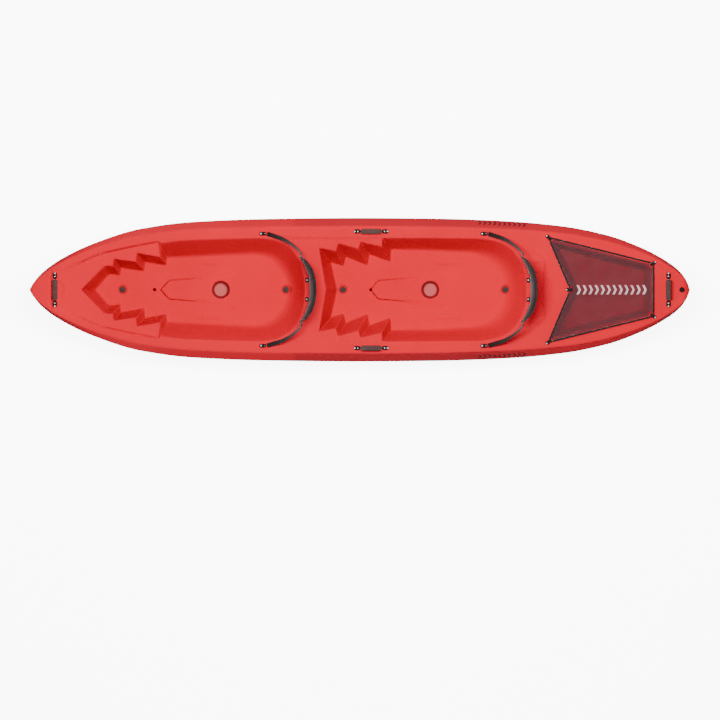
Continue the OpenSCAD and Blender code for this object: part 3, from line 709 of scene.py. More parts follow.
def triangulate():
    """Points and triangles of half the deck, seen from above, with their heights."""
    points, heights, edges = [], [], []

    def add(line, z=None):
        first = len(points)
        points.extend(map(tuple, line[:, :2]))
        heights.extend([None] * len(line) if z is None else list(z))
        edges.extend((first + i, first + i + 1) for i in range(len(line) - 1))

    add(deck_line, sheer(deck_line[:, 0]))
    for rings in wells:
        for k, ring in enumerate(rings):
            add(ring, ring[:, 2])
            here, n = len(points) - len(ring), len(ring)
            if k:
                edges.extend((here - n + i, here + i) for i in range(n))
    bounds = [(w[0][:, :2], w[-1][:, :2]) for w in wells]
    for line in deck_lines() + floor_lines():
        keep = line[:, 1] > 0.5
        if keep.sum() > 1:
            add(line[keep])
    tree = kdtree.KDTree(len(points))
    for i, p in enumerate(points):
        tree.insert((*p, 0), i)
    tree.balance()
    rows = np.arange(-1868, 1870, GRID)
    grid = np.array([(x + (GRID / 2 if j % 2 else 0), j * GRID * 0.87)
        for x in rows for j in range(32)])
    in_deck = inside(grid, deck_line)
    in_wall = np.zeros(len(grid), bool)
    for outer, inner in bounds:
        in_wall |= inside(grid, outer) & ~inside(grid, inner)
    for p in grid[in_deck & ~in_wall]:
        if tree.find((*p, 0))[2] > GRID * 0.62:
            points.append(tuple(p))
            heights.append(None)
    # The centreline closes the half deck
    known_at = {}
    for p, z in zip(points, heights):
        if abs(p[1]) < 0.01:
            known_at[p[0]] = z if z is not None else known_at.get(p[0])
    centre = sorted(known_at)
    for a, b in zip(centre[:-1], centre[1:]):
        count = max(1, round((b - a) / GRID))
        line = np.array([(a + (b - a) * i / count, 0.0) for i in range(count + 1)])
        on_ring = known_at[a] is not None and known_at[b] is not None
        add(line, np.linspace(known_at[a], known_at[b], count + 1) if on_ring else None)
    made, _, faces, origin, _, _ = geometry.delaunay_2d_cdt([Vector(p) for p in points], edges, [], 1, 0.01)
    flat = np.array([tuple(v) for v in made])
    on_floor = np.zeros(len(flat), bool)
    for outer, inner in bounds:
        on_floor |= inside(flat, inner)
    z = np.where(on_floor, floor_height(flat), deck_height(flat))
    for i, sources in enumerate(origin):
        known = [heights[s] for s in sources if heights[s] is not None]
        if known:
            z[i] = known[0]
    return flat, z, faces


flat, heights, faces = triangulate()
print("half the deck has", len(flat), "points and", len(faces), "triangles")

# %% Join the deck and the side, and mirror them
def hull_skin():
    bm = bmesh.new()
    bmesh.ops.create_grid(bm, x_segments=len(STATIONS) - 1, y_segments=len(columns) - 1, size=1)
    for v in bm.verts:
        i = round((v.co.x + 1) / 2 * (len(STATIONS) - 1))
        j = round((v.co.y + 1) / 2 * (len(columns) - 1))
        y, z = columns[j][i]
        v.co = (STATIONS[i], y, z)
    verts = [bm.verts.new((x, max(y, 0), z)) for (x, y), z in zip(flat, heights)]
    for face in faces:
        bm.faces.new([verts[i] for i in face])
    bmesh.ops.remove_doubles(bm, verts=bm.verts, dist=0.02)
    bmesh.ops.dissolve_degenerate(bm, dist=0.01, edges=bm.edges)
    bmesh.ops.mirror(bm, geom=bm.verts[:] + bm.edges[:] + bm.faces[:], matrix=Matrix.Identity(4),
        merge_dist=0.02, axis="Y")
    bmesh.ops.recalc_face_normals(bm, faces=bm.faces)
    bmesh.ops.scale(bm, vec=(MM, MM, MM), verts=bm.verts)
    return bm


def finish_mesh(bm, name, smooth=True):
    mesh = bpy.data.meshes.new(name)
    for face in bm.faces:
        face.smooth = smooth
    bm.to_mesh(mesh)
    bm.free()
    made = bpy.data.objects.new(name, mesh)
    bpy.context.scene.collection.objects.link(made)
    return made


skin = hull_skin()
open_edges = [e for e in skin.edges if len(e.link_faces) != 2]
print("open or shared edges in the skin:", len(open_edges), "volume", round(skin.calc_volume(), 4), "m3")
hull = finish_mesh(skin, "hull_skin")
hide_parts("hull")
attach(hull, "boat")

# %% [markdown]
# ## Holes through the hull
# The shell is drawn closed, and the bores are then cut out of it. Each cutter is a short profile
# spun round a vertical axis, a little wider at its mouth so that the edge comes out soft. The
# two drains stop short of the keel here, so that the bright floor doesn't show through them.

# %% Cut the scuppers, drains, cup holders and plug socket
def spun(bm, profile, at, steps=48):
    """Spins a profile of (radius, height) points, in millimetres, round a vertical axis at (x, y)."""
    verts = [bm.verts.new((at[0] + r, at[1], z)) for r, z in profile]
    edges = [bm.edges.new(pair) for pair in zip(verts[:-1], verts[1:])]
    made = bmesh.ops.spin(bm, geom=verts + edges, axis=(0, 0, 1), cent=(at[0], at[1], 0),
        angle=math.tau, steps=steps, use_merge=True)
    bmesh.ops.remove_doubles(bm, verts=bm.verts, dist=0.001)
    return made


DRAIN_STOP = 14
BUNG_BODIES = {"front_footwell_plug": "front_footwell_bung", "front_seat_plug": "front_seat_bung",
    "rear_footwell_plug": "rear_footwell_bung", "rear_seat_plug": "rear_seat_bung"}
DRAINS = (-1169, 62)
BORE_R, DISH_R, DISH_DEPTH, DRAIN_R = 15.3, 25, 9, 8
CUP_R, CUP_MOUTH, CUP_DEPTH = 38, 50, 62


def middle(node):
    low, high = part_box(node)
    return (low + high) / 2


def height_at(x, y, surface):
    return float(surface(np.array([[x, y]], float))[0])


def cutters():
    bm = bmesh.new()
    for node in BUNG_BODIES:
        x = middle(node).x / MM
        top, low = height_at(x, 0, floor_height), float(keel(x))
        spun(bm, [(0, low - 8), (BORE_R + 4, low - 8), (BORE_R + 2.5, low - 0.5), (BORE_R, low + 2.5),
            (BORE_R, top - DISH_DEPTH), (DISH_R - 4, top - DISH_DEPTH), (DISH_R - 1.6, top - DISH_DEPTH + 2),
            (DISH_R, top - 3), (DISH_R + 1.2, top - 0.6), (DISH_R + 4, top + 1), (DISH_R + 4, top + 20),
            (0, top + 20)], (x, 0))
    for x in DRAINS:
        top, stop = height_at(x, 0, floor_height), float(keel(x)) + DRAIN_STOP
        spun(bm, [(0, stop), (DRAIN_R, stop), (DRAIN_R, top - 4), (DRAIN_R + 3, top - 0.3),
            (DRAIN_R + 5, top + 1), (DRAIN_R + 5, top + 20), (0, top + 20)], (x, 0), 32)
    for x in CUPS:
        low = CONSOLE_TOP - CUP_DEPTH
        top = CONSOLE_TOP
        spun(bm, [(0, low), (CUP_R - 9, low), (CUP_R - 3.5, low + 1.2), (CUP_R - 0.6, low + 4.5),
            (CUP_R + 0.9, low + 9), (CUP_MOUTH - 1, top - 5), (CUP_MOUTH, top - 2),
            (CUP_MOUTH + 2, top + 0.3), (CUP_MOUTH + 4, top + 1), (CUP_MOUTH + 4, top + 30),
            (0, top + 30)], (x, 0), 64)
    plug = middle("drain_socket").x / MM
    spun(bm, [(0, 335), (10.1, 335), (10.1, 400), (0, 400)], (plug, 0), 32)
    bmesh.ops.recalc_face_normals(bm, faces=bm.faces)
    bmesh.ops.scale(bm, vec=(MM, MM, MM), verts=bm.verts)
    return finish_mesh(bm, "cutters", smooth=False)


def cut_out(target, cutter):
    tool = target.modifiers.new("holes", "BOOLEAN")
    tool.operation, tool.solver, tool.object = "DIFFERENCE", "EXACT", cutter
    graph = bpy.context.evaluated_depsgraph_get()
    made = bpy.data.meshes.new_from_object(target.evaluated_get(graph))
    target.modifiers.clear()
    target.data = made
    bpy.data.objects.remove(cutter)


cut_out(hull, cutters())
SHARP_TURN = math.radians(38)


def soften(piece, angle=SHARP_TURN):
    """Smooth shading that keeps edges sharper than an angle."""
    bm = bmesh.new()
    bm.from_mesh(piece.data)
    for face in bm.faces:
        face.smooth = True
    for edge in bm.edges:
        edge.smooth = len(edge.link_faces) != 2 or edge.calc_face_angle(0) < angle
    bm.to_mesh(piece.data)
    bm.free()
    return piece


def paint_cup_shade_and_light():
    """Cup walls get painted shade, a darker red than the hull, and cup floors painted light, a paler red."""
    for face in hull.data.polygons:
        for x in CUPS:
            away = math.hypot(face.center.x / MM - x, face.center.y / MM)
            z = face.center.z / MM
            if away < CUP_MOUTH + 1.5 and z < CONSOLE_TOP - 1 and z > CONSOLE_TOP - CUP_DEPTH - 4:
                # Slot 1 is the painted shade of a cup wall, slot 2 the painted light of a cup floor.
                face.material_index = 2 if away < CUP_R - 2 and z < CONSOLE_TOP - CUP_DEPTH + 4 else 1


soften(hull, math.radians(50))
hull.data.materials.clear()
for paint in (RED, CUP_WALL_SHADE, CUP_FLOOR_LIGHT):
    hull.data.materials.append(paint)
paint_cup_shade_and_light()
print("hull faces after the holes:", len(hull.data.polygons))

# %% [markdown]
# ## A helper for bent pieces
# Grips, straps, cords and rings are all one sheet rolled up or bent along a path. One helper
# makes a grid, sends each of its points to a place, closes the seam, caps the ends and keeps
# the grid's own coordinates as a UV map, so that a weave can follow the piece.

# %% Bent grids
def bent_grid(bm, around, along, place, wrap=True, loop=False, caps=True, size=(1, 1)):
    """A grid whose point (u, v), each from 0 to 1, goes to place(u, v) in metres."""
    before = set(bm.verts)
    uv = bm.loops.layers.uv.verify()
    made = bmesh.ops.create_grid(bm, x_segments=around, y_segments=along, size=1)["verts"]
    share = {v: ((v.co.x + 1) / 2, (v.co.y + 1) / 2) for v in made}
    faces = {f for v in made for f in v.link_faces}
    for face in faces:
        for corner in face.loops:
            u, v = share[corner.vert]
            corner[uv].uv = (u * size[0], v * size[1])
    for v, (a, b) in share.items():
        v.co = place(a, b)
    new = [v for v in bm.verts if v not in before]
    if wrap or loop:
        bmesh.ops.remove_doubles(bm, verts=new, dist=1e-7)
        new = [v for v in bm.verts if v not in before]
    if caps and not loop:
        edges = [e for v in new for e in v.link_edges if e.is_boundary]
        bmesh.ops.holes_fill(bm, edges=list(set(edges)), sides=0)
    bmesh.ops.recalc_face_normals(bm, faces=list({f for v in new for f in v.link_faces}))
    return new


def ring_place(path, half_width, half_depth, power=2.0, flat=None, loop=False, up=(0, 0, 1), twist=None):
    """Places for a rounded section carried along a path; a high power makes it squarer."""
    path = [Vector(p) for p in path]
    last = len(path) if loop else len(path) - 1

    def at(v):
        s = v * last
        i = min(int(s), last - 1)
        n = len(path)
        pts = [path[(i + k) % n] if loop else path[min(max(i + k, 0), n - 1)] for k in (-1, 0, 1, 2)]
        t = s - i
        a, b, c, d = pts
        square, cube = 2 * a - 5 * b + 4 * c - d, 3 * b - a - 3 * c + d
        point = 0.5 * (2 * b + (c - a) * t + square * t * t + cube * t ** 3)
        way = 0.5 * ((c - a) + 2 * square * t + 3 * cube * t * t)
        return point, way.normalized()

    def place(u, v):
        point, way = at(v)
        side = way.cross(Vector(up)).normalized()
        top = side.cross(way)
        if twist:
            turn = Matrix.Rotation(twist(v), 3, way)
            side, top = turn @ side, turn @ top
        angle = u * math.tau
        c, s = math.cos(angle), math.sin(angle)
        w = half_width(v) if callable(half_width) else half_width
        d = half_depth(v) if callable(half_depth) else half_depth
        x = math.copysign(abs(c) ** (2 / power), c) * w
        y = math.copysign(abs(s) ** (2 / power), s) * d
        return point + side * x + top * y

    return place


def dress(piece, paint, body=None, replaced=()):
    """Gives a piece its finish, the nodes that it stands for and its body."""
    piece.data.materials.clear()
    piece.data.materials.append(paint)
    if replaced:
        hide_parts(*replaced)
    if body:
        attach(piece, body)
    return piece


print("helpers ready")

# %% [markdown]
# ## Screws
# A pan head screw is a low dome with a cross recess that the driver fits. The dome is a small
# disc of rings pushed up into a curve, and the points under the cross are pushed back down.

# %% Screws
def add_screws(name, places, radius, body, replaced, facing=None):
    """Pan heads at places; each is a spun dome with a cross recess."""
    bm = bmesh.new()
    for k, place in enumerate(places):
        before = set(bm.verts)
        r = radius / MM
        profile = [(0, -3.0), (2.0, -3.0), (2.0, 0.0), (r, 0.0), (r, 0.7), (r * 0.93, 1.3), (r * 0.78, 1.8),
            (r * 0.62, 2.15), (r * 0.5, 2.3), (r * 0.38, 2.38), (r * 0.2, 2.42), (0, 2.45)]
        spun(bm, profile, (0, 0), 24)
        new = [v for v in bm.verts if v not in before]
        for v in new:
            cross = min(abs(v.co.x), abs(v.co.y)) < 0.13 * r and v.co.to_2d().length < 0.56 * r
            if cross and v.co.z > 1.5:
                v.co.z -= 1.1
        turn = Matrix.Rotation(0.5 + 0.9 * k, 4, "Z")
        lean = Matrix.Identity(4) if facing is None else facing[k]
        seat = Matrix.Translation(place) @ lean @ turn @ Matrix.Scale(MM, 4)
        bmesh.ops.transform(bm, matrix=seat, verts=new)
    bmesh.ops.recalc_face_normals(bm, faces=bm.faces)
    return dress(soften(finish_mesh(bm, name)), STEEL, body, replaced)


# %% [markdown]
# ## Carry handles
# A handle is a webbing band that pivots on two moulded pads, with a ribbed rubber grip in the
# middle. All four are the same, so one set of functions builds them and a turn sets them
# across the ends or along the sides.

# %% Handles
HANDLES = {"bow": 0, "stern": 0, "port": 90, "starboard": 90}
PAD_LENGTH, PAD_WIDTH, PAD_HEIGHT = 0.039, 0.025, 0.009
PIVOT_UP = 0.0055
SCREW_FROM_END = (0.0065, 0.0245)


def handle_place(which):
    """Centre on the deck, and the turn of a handle whose length runs along local Y."""
    low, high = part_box(f"{which}_handle_pads")
    middle_point = (low + high) / 2
    return Matrix.Translation((middle_point.x, middle_point.y, low.z)) @ Matrix.Rotation(
        math.radians(HANDLES[which]), 4, "Z")


def handle_half(which):
    low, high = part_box(f"{which}_handle_pads")
    return max(high.x - low.x, high.y - low.y) / 2


def moved(piece, matrix):
    piece.data.transform(matrix)
    return piece


def handle_pads(which):
    half = handle_half(which)
    bm = bmesh.new()
    for side in (1, -1):
        before = set(bm.verts)
        disc = bmesh.ops.create_circle(bm, cap_ends=True, segments=32, radius=PAD_WIDTH / 2)["verts"]
        for v in disc:
            v.co.y += math.copysign((PAD_LENGTH - PAD_WIDTH) / 2, v.co.y)
        faces = list({f for v in disc for f in v.link_faces})
        raised = bmesh.ops.extrude_face_region(bm, geom=faces)["geom"]
        upper = [g for g in raised if isinstance(g, bmesh.types.BMVert)]
        bmesh.ops.translate(bm, vec=(0, 0, PAD_HEIGHT), verts=upper)
        new = [v for v in bm.verts if v not in before]
        for v in new:
            if v.co.z > PAD_HEIGHT / 2:
                v.co.x *= 0.9
                v.co.y *= 0.96
        top = [e for v in new for e in v.link_edges if all(w.co.z > PAD_HEIGHT / 2 for w in e.verts)]
        bmesh.ops.bevel(bm, geom=list(set(top)), offset=0.0024, segments=4, profile=0.5, affect="EDGES",
            material=-1)
        new = [v for v in bm.verts if v not in before]
        bmesh.ops.translate(bm, vec=(0, side * (half - PAD_LENGTH / 2), 0), verts=new)
        # a raised cheek round the pivot post
        cheek = bmesh.ops.create_cone(bm, cap_ends=True, segments=24, radius1=0.0062, radius2=0.0058,
            depth=0.012)["verts"]
        bmesh.ops.rotate(bm, verts=cheek, cent=(0, 0, 0), matrix=Matrix.Rotation(math.pi / 2, 3, "X"))
        bmesh.ops.translate(bm, vec=(0, side * (half - PAD_LENGTH + 0.0068), PIVOT_UP + 0.0012), verts=cheek)
    bmesh.ops.recalc_face_normals(bm, faces=bm.faces)
    piece = moved(soften(finish_mesh(bm, f"{which}_pads")), handle_place(which))
    return dress(piece, BLACK, "boat", [f"{which}_handle_pads"])


def handle_strap(which):
    low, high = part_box(f"{which}_handle_strap")
    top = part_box(f"{which}_handle_grip")
    rise = (top[0].z + top[1].z) / 2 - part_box(f"{which}_handle_pads")[0].z
    reach = handle_half(which) - PAD_LENGTH - 0.004
    bend = 0.009
    right = [(0, reach, PIVOT_UP), (0, reach, PIVOT_UP + 0.009), (0, reach, rise - bend),
        (0, reach - bend * 0.3, rise - bend * 0.3), (0, reach - bend, rise), (0, reach * 0.5, rise)]
    path = right + [(0, -y, z) for _, y, z in reversed(right)]
    bm = bmesh.new()

    def half_width(v):
        """The band narrows to its pivots, so that it clears the deck as it swings."""
        return 0.0042 + 0.0056 * min(1, min(v, 1 - v) / 0.13)

    turned = ring_place(path, half_width, 0.0016, power=5, up=(1, 0, 0), twist=lambda v: math.pi / 2)
    bent_grid(bm, 20, 80, turned, size=(0.02, 0.18))
    for side in (1, -1):
        roll = bmesh.ops.create_cone(bm, cap_ends=True, segments=24, radius1=0.0044, radius2=0.0044,
            depth=0.007)["verts"]
        bmesh.ops.rotate(bm, verts=roll, cent=(0, 0, 0), matrix=Matrix.Rotation(math.pi / 2, 3, "X"))
        bmesh.ops.translate(bm, vec=(0, side * reach, PIVOT_UP), verts=roll)
    piece = moved(soften(finish_mesh(bm, f"{which}_strap")), handle_place(which))
    return dress(piece, WEBBING, f"{which}_handle", [f"{which}_handle_strap"])


def handle_grip(which):
    low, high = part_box(f"{which}_handle_grip")
    size = high - low
    length = max(size.x, size.y)
    width, thick = min(size.x, size.y) / 2, size.z / 2
    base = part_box(f"{which}_handle_pads")[0].z
    rise = (low.z + high.z) / 2 - base
    ribs = 11

    def swell(v):
        """The grip narrows to its ends and carries shallow ribs."""
        end = min(1, min(v, 1 - v) / 0.045)
        round_end = math.sqrt(max(0, 1 - (1 - end) ** 2)) * 0.45 + 0.55
        rib = 0.5 + 0.5 * math.cos(math.tau * ribs * v)
        return round_end * (0.93 + 0.07 * rib ** 2 * (0.1 < v < 0.9) + 0.05 * (v < 0.1 or v > 0.9))

    path = [(0, -length / 2 + length * i / 10, rise) for i in range(11)]
    bm = bmesh.new()
    rubber = ring_place(path, lambda v: width * swell(v), lambda v: thick * swell(v), power=2.6)
    bent_grid(bm, 28, 132, rubber, size=(0.08, length))
    piece = moved(soften(finish_mesh(bm, f"{which}_grip"), math.radians(60)), handle_place(which))
    return dress(piece, GRIP, f"{which}_handle", [f"{which}_handle_grip"])


handle_screw_places = []
for which in HANDLES:
    handle_pads(which)
    handle_strap(which)
    handle_grip(which)
    half = handle_half(which)
    for side in (1, -1):
        for inset in SCREW_FROM_END:
            handle_screw_places.append(handle_place(which) @ Vector((0, side * (half - inset), PAD_HEIGHT)))
add_screws("handle_screw_heads", handle_screw_places, 0.004, "boat", ["handle_screws"])
print("handles:", ", ".join(HANDLES), "with", len(handle_screw_places), "screws")

# %% [markdown]
# ## Backrests
# Each backrest is a padded panel with curled wings. It is drawn a little too thin, and a cloth
# simulation then blows it up from inside, while the sewn seams stay where they are. That
# gives the soft crown between seams that a real pad has. The rear backrest is the same shape
# set further aft.

# %% The shape of a backrest
HINGE = Vector((-292, 0, 324))
REAR_SHIFT = Vector((1260, 0, 9))
BACK_WIDTH, BACK_HEIGHT, BACK_THICK = 380, 190, 24
WING_REACH, HINGE_CLEAR = 66, 3.5
BACK_SIDE = smooth_line([(0, 0.4), (0.06, 0.54), (0.2, 0.78), (0.45, 0.98), (0.65, 1), (0.85, 0.94),
    (0.95, 0.8), (1, 0.62)])
BACK_WING = straight_line([(0, 0), (0.15, 0.1), (0.3, 0.6), (0.6, 1), (0.85, 0.85), (1, 0.7)])
BACK_LEAN = straight_line([(0, 2), (0.5, 6), (0.8, 14), (0.93, 24), (1, 36)])


def back_point(u, v, depth):
    """A point of the backrest: u across from -1 to 1, v up, depth 0 in front and 1 behind."""
    y = u * BACK_WIDTH / 2 * float(BACK_SIDE(v))
    across = 0.35 + 0.65 * math.sqrt(max(0, 1 - abs(u) ** 3))
    swell = across * (0.6 + 0.4 * math.sin(math.pi * min(1, 0.1 + v * 0.85)))
    bow = WING_REACH * (y / (BACK_WIDTH / 2)) ** 2 * float(BACK_WING(v))
    return Vector((HINGE.x + float(BACK_LEAN(v)) - bow + depth * BACK_THICK * swell, y,
        HINGE.z + HINGE_CLEAR + v * (BACK_HEIGHT - HINGE_CLEAR) - 10 * abs(u) ** 2.5 * v))


PAD_CELLS = (96, 48)
SEAM_ACROSS, SEAM_UP = (0.40, 0.88), (0.10, 0.88)


def seam_share(u, v):
    """1 on a seam and 0 away from it."""
    across, up = abs(u), v
    near = [abs(across - SEAM_ACROSS[0]) / 0.020 if SEAM_UP[0] < up < SEAM_UP[1] else 9,
        abs(across - SEAM_ACROSS[1]) / 0.022 if SEAM_UP[0] < up < SEAM_UP[1] else 9,
        abs(up - SEAM_UP[0]) / 0.022 if across < SEAM_ACROSS[1] else 9,
        abs(up - SEAM_UP[1]) / 0.022 if across < SEAM_ACROSS[1] else 9]
    return 1.0 if min(near) < 1 else 0.0


def thin_pad():
    """The closed pad before it is blown up, with its seams pulled in."""
    bm = bmesh.new()
    across, up = PAD_CELLS
    sides = []
    for depth in (0.0, 1.0):
        made = bmesh.ops.create_grid(bm, x_segments=across, y_segments=up, size=1)["verts"]
        for v in made:
            u, h = v.co.x, (v.co.y + 1) / 2
            edge = min(1, (1 - abs(u)) / 0.10, h / 0.10, (1 - h) / 0.12)
            round_edge = math.sqrt(max(0, 1 - (1 - edge) ** 2))
            pulled = 0.5 + (depth - 0.5) * (0.12 + 0.70 * round_edge - 0.22 * seam_share(u, h))
            v.co = back_point(u * 0.992, 0.006 + h * 0.985, pulled)
        sides.append(made)
    rims = [[e for v in side for e in v.link_edges if e.is_boundary] for side in sides]
    bmesh.ops.bridge_loops(bm, edges=list(set(rims[0]) | set(rims[1])))
    bmesh.ops.recalc_face_normals(bm, faces=bm.faces)
    bmesh.ops.scale(bm, vec=(MM, MM, MM), verts=bm.verts)
    return finish_mesh(bm, "front_pad")


def blow_up(pad, frames=18):
    """Cloth under pressure, pinned at its seams and its rim."""
    step_size = 0.005
    remesh = pad.modifiers.new("even", "REMESH")
    remesh.mode, remesh.voxel_size = "VOXEL", step_size
    graph = bpy.context.evaluated_depsgraph_get()
    even = bpy.data.meshes.new_from_object(pad.evaluated_get(graph))
    pad.modifiers.clear()
    pad.data = even
    pins = pad.vertex_groups.new(name="seams")
    for v in pad.data.vertices:
        p = v.co / MM
        h = min(1, max(0, (p.z - HINGE.z - HINGE_CLEAR) / (BACK_HEIGHT - HINGE_CLEAR)))
        u = p.y / (BACK_WIDTH / 2 * float(BACK_SIDE(h)))
        h = min(1, h + 10 * abs(u) ** 2.5 * h / BACK_HEIGHT)
        rim = abs(u) > 0.97 or h < 0.03 or h > 0.97
        if rim or seam_share(u, h) > 0:
            pins.add([v.index], 1.0, "REPLACE")
    cloth = pad.modifiers.new("cloth", "CLOTH")
    cloth.settings.quality = 5
    cloth.settings.use_pressure = True
    cloth.settings.uniform_pressure_force = 4.0
    cloth.settings.vertex_group_mass = "seams"
    cloth.settings.effector_weights.gravity = 0
    cloth.settings.tension_stiffness = 12
    cloth.settings.compression_stiffness = 12
    start = [v.co.copy() for v in pad.data.vertices]
    for frame_number in range(1, frames + 1):
        bpy.context.scene.frame_set(frame_number)
    graph = bpy.context.evaluated_depsgraph_get()
    full = bpy.data.meshes.new_from_object(pad.evaluated_get(graph))
    pad.modifiers.clear()
    pad.vertex_groups.clear()
    most = 0.0045
    for v, before in zip(full.vertices, start):
        move = v.co - before
        v.co = before + move * min(1, most / max(move.length, 1e-9))
    pad.data = full
    bpy.context.scene.frame_set(1)
    return pad


# %% Blow up the pads
pad = thin_pad()
blow_up(pad)
rounder = pad.modifiers.new("round", "SUBSURF")
rounder.levels = rounder.render_levels = 1
rear_pad = bpy.data.objects.new("rear_pad", pad.data.copy())
bpy.context.scene.collection.objects.link(rear_pad)
rear_pad.data.transform(Matrix.Translation(REAR_SHIFT * MM))
rounder = rear_pad.modifiers.new("round", "SUBSURF")
rounder.levels = rounder.render_levels = 1
for which, piece in (("front", pad), ("rear", rear_pad)):
    for face in piece.data.polygons:
        face.use_smooth = True
    dress(piece, CLOTH, f"{which}_backrest_body", [f"{which}_backrest"])
print("pad faces:", len(pad.data.polygons))

# %% [markdown]
# A binding tape is sewn round the rim of each pad. It follows the same function as the pad, so it lies on it.

# %% Binding
def rim_path(inset, steps=20):
    """Points round the rim of the backrest, at the middle of its thickness."""
    lo, hi = 0.0 + inset, 1.0 - inset
    points = [(-1 + 2 * i / steps, lo) for i in range(steps)]
    points += [(1, lo + (hi - lo) * i / steps) for i in range(steps)]
    points += [(1 - 2 * i / steps, hi) for i in range(steps)]
    points += [(-1, hi - (hi - lo) * i / steps) for i in range(steps)]
    return [back_point(u * (1 - inset), v, 0.5) * MM for u, v in points]


for which, shift in (("front", Vector()), ("rear", REAR_SHIFT)):
    bm = bmesh.new()
    path = [p + shift * MM for p in rim_path(0.008)]
    tape = ring_place(path, 0.0031, 0.0031, loop=True, up=(1, 0, 0.01))
    bent_grid(bm, 14, 240, tape, loop=True, size=(0.02, 1.1))
    dress(finish_mesh(bm, f"{which}_binding"), BINDING, f"{which}_backrest_body")
print("bindings sewn")

# %% [markdown]
# ## Seat straps
# A strap runs from a bracket on the gunwale up to the back of the pad. It turns from flat on the deck to
# upright at the pad.

# %% Straps
STRAP_ROUTE = [(-528, 318, 334.5, 0), (-506, 312, 336, 0), (-484, 305, 346, 12), (-440, 290, 373, 35),
    (-395, 264, 401, 50), (-362, 238, 421, 58), (-338, 213, 436, 64)]
STRAP_SEWN = [(-334, 199, 440, 68), (-335, 186, 441, 72)]
STRAP_WIDTH, STRAP_THICK = 25, 2


def strap(which, side_name, side, shift):
    route = STRAP_ROUTE + STRAP_SEWN
    path = [(Vector((x, y * side, z)) + shift) * MM for x, y, z, _ in route]
    turns = straight_line([(i / (len(route) - 1), p[3]) for i, p in enumerate(route)])
    half = STRAP_WIDTH / 2 * MM
    bm = bmesh.new()
    bent_grid(bm, 24, 90, ring_place(path, half, STRAP_THICK / 2 * MM, power=6,
        twist=lambda v: side * math.radians(float(turns(v)))), size=(0.054, 0.26))
    name = f"{which}_{side_name}_strap"
    piece = dress(soften(finish_mesh(bm, name + "_webbing")), WEBBING, None, [name])
    start, end = (Vector(STRAP_ROUTE[k][:3]) for k in (1, 6))
    for point in (start, end):
        point.y *= side
    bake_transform(piece)
    return piece


for which, shift in (("front", Vector()), ("rear", REAR_SHIFT)):
    for side_name, side in (("port", -1), ("starboard", 1)):
        piece = strap(which, side_name, side, shift)
        print(piece.name, "with", len(piece.data.polygons), "faces")

# %% [markdown]
# ## Flaps, buckles and brackets
# Two tabs of webbing are screwed to the deck behind the seat and sewn into the foot of the pad. They are the
# hinge of the backrest.

# %% Flaps
FLAP_TABS = (-55, 55)


def flap(which, shift):
    base = HINGE + shift
    bend = ((-17, -2), (-9, -2), (-3, -1.6), (0.6, 0), (1.6, 3), (2.0, 7), (2.4, 11))
    bm = bmesh.new()
    for y in FLAP_TABS:
        path = [(base + Vector((x, y, z))) * MM for x, z in bend]
        bent_grid(bm, 32, 40, ring_place(path, 0.0125, 0.0009, power=8, up=(-0.6, 0, 1)), size=(0.05, 0.03))
    piece = dress(soften(finish_mesh(bm, f"{which}_flap")), WEBBING, None,
        [f"{which}_backrest_flap"])
    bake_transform(piece)
    return piece


def ladder_buckle(bm, centre, turn):
    """A frame of square bar with a cross bar, as webbing is threaded through."""
    half_wide, half_tall, bar = 3.2, 15.2, 1.35
    corners = [(half_wide, -half_tall), (half_wide, half_tall), (-half_wide, half_tall),
        (-half_wide, -half_tall)]
    loop = []
    for i, (x, z) in enumerate(corners):
        nx, nz = corners[(i + 1) % 4]
        for t in (0.06, 0.5, 0.94):
            loop.append(Vector((x + (nx - x) * t, 0, z + (nz - z) * t)) * MM)
    frame_bar = ring_place(loop, bar * MM, 1.7 * MM, power=3.5, loop=True, up=(0, 1, 0))
    new = bent_grid(bm, 12, 96, frame_bar, loop=True)
    for z in (-5.0, 5.0):
        path = [Vector((-half_wide, 0, z)) * MM, Vector((0, 0.4, z)) * MM, Vector((half_wide, 0, z)) * MM]
        new += bent_grid(bm, 10, 8, ring_place(path, 1.0 * MM, 1.2 * MM, power=3, up=(0, 1, 0)))
    place = Matrix.Translation(centre * MM) @ Matrix.Rotation(math.radians(turn), 4, "Z")
    bmesh.ops.transform(bm, matrix=place, verts=new)


def soft_plate(bm, length, width, height, edge=1.2):
    """A plate with round ends along local X, its top edge eased."""
    before = set(bm.verts)
    disc = bmesh.ops.create_circle(bm, cap_ends=True, segments=32, radius=width / 2)["verts"]
    for v in disc:
        v.co.x += math.copysign((length - width) / 2, v.co.x)
    raised = bmesh.ops.extrude_face_region(bm, geom=list({f for v in disc for f in v.link_faces}))["geom"]
    upper = [g for g in raised if isinstance(g, bmesh.types.BMVert)]
    bmesh.ops.translate(bm, vec=(0, 0, height), verts=upper)
    new = [v for v in bm.verts if v not in before]
    top = {e for v in new for e in v.link_edges if all(w.co.z > height / 2 for w in e.verts)}
    bmesh.ops.bevel(bm, geom=list(top), offset=min(edge, height * 0.45), segments=3, profile=0.5,
        affect="EDGES", material=-1)
    return [v for v in bm.verts if v not in before]


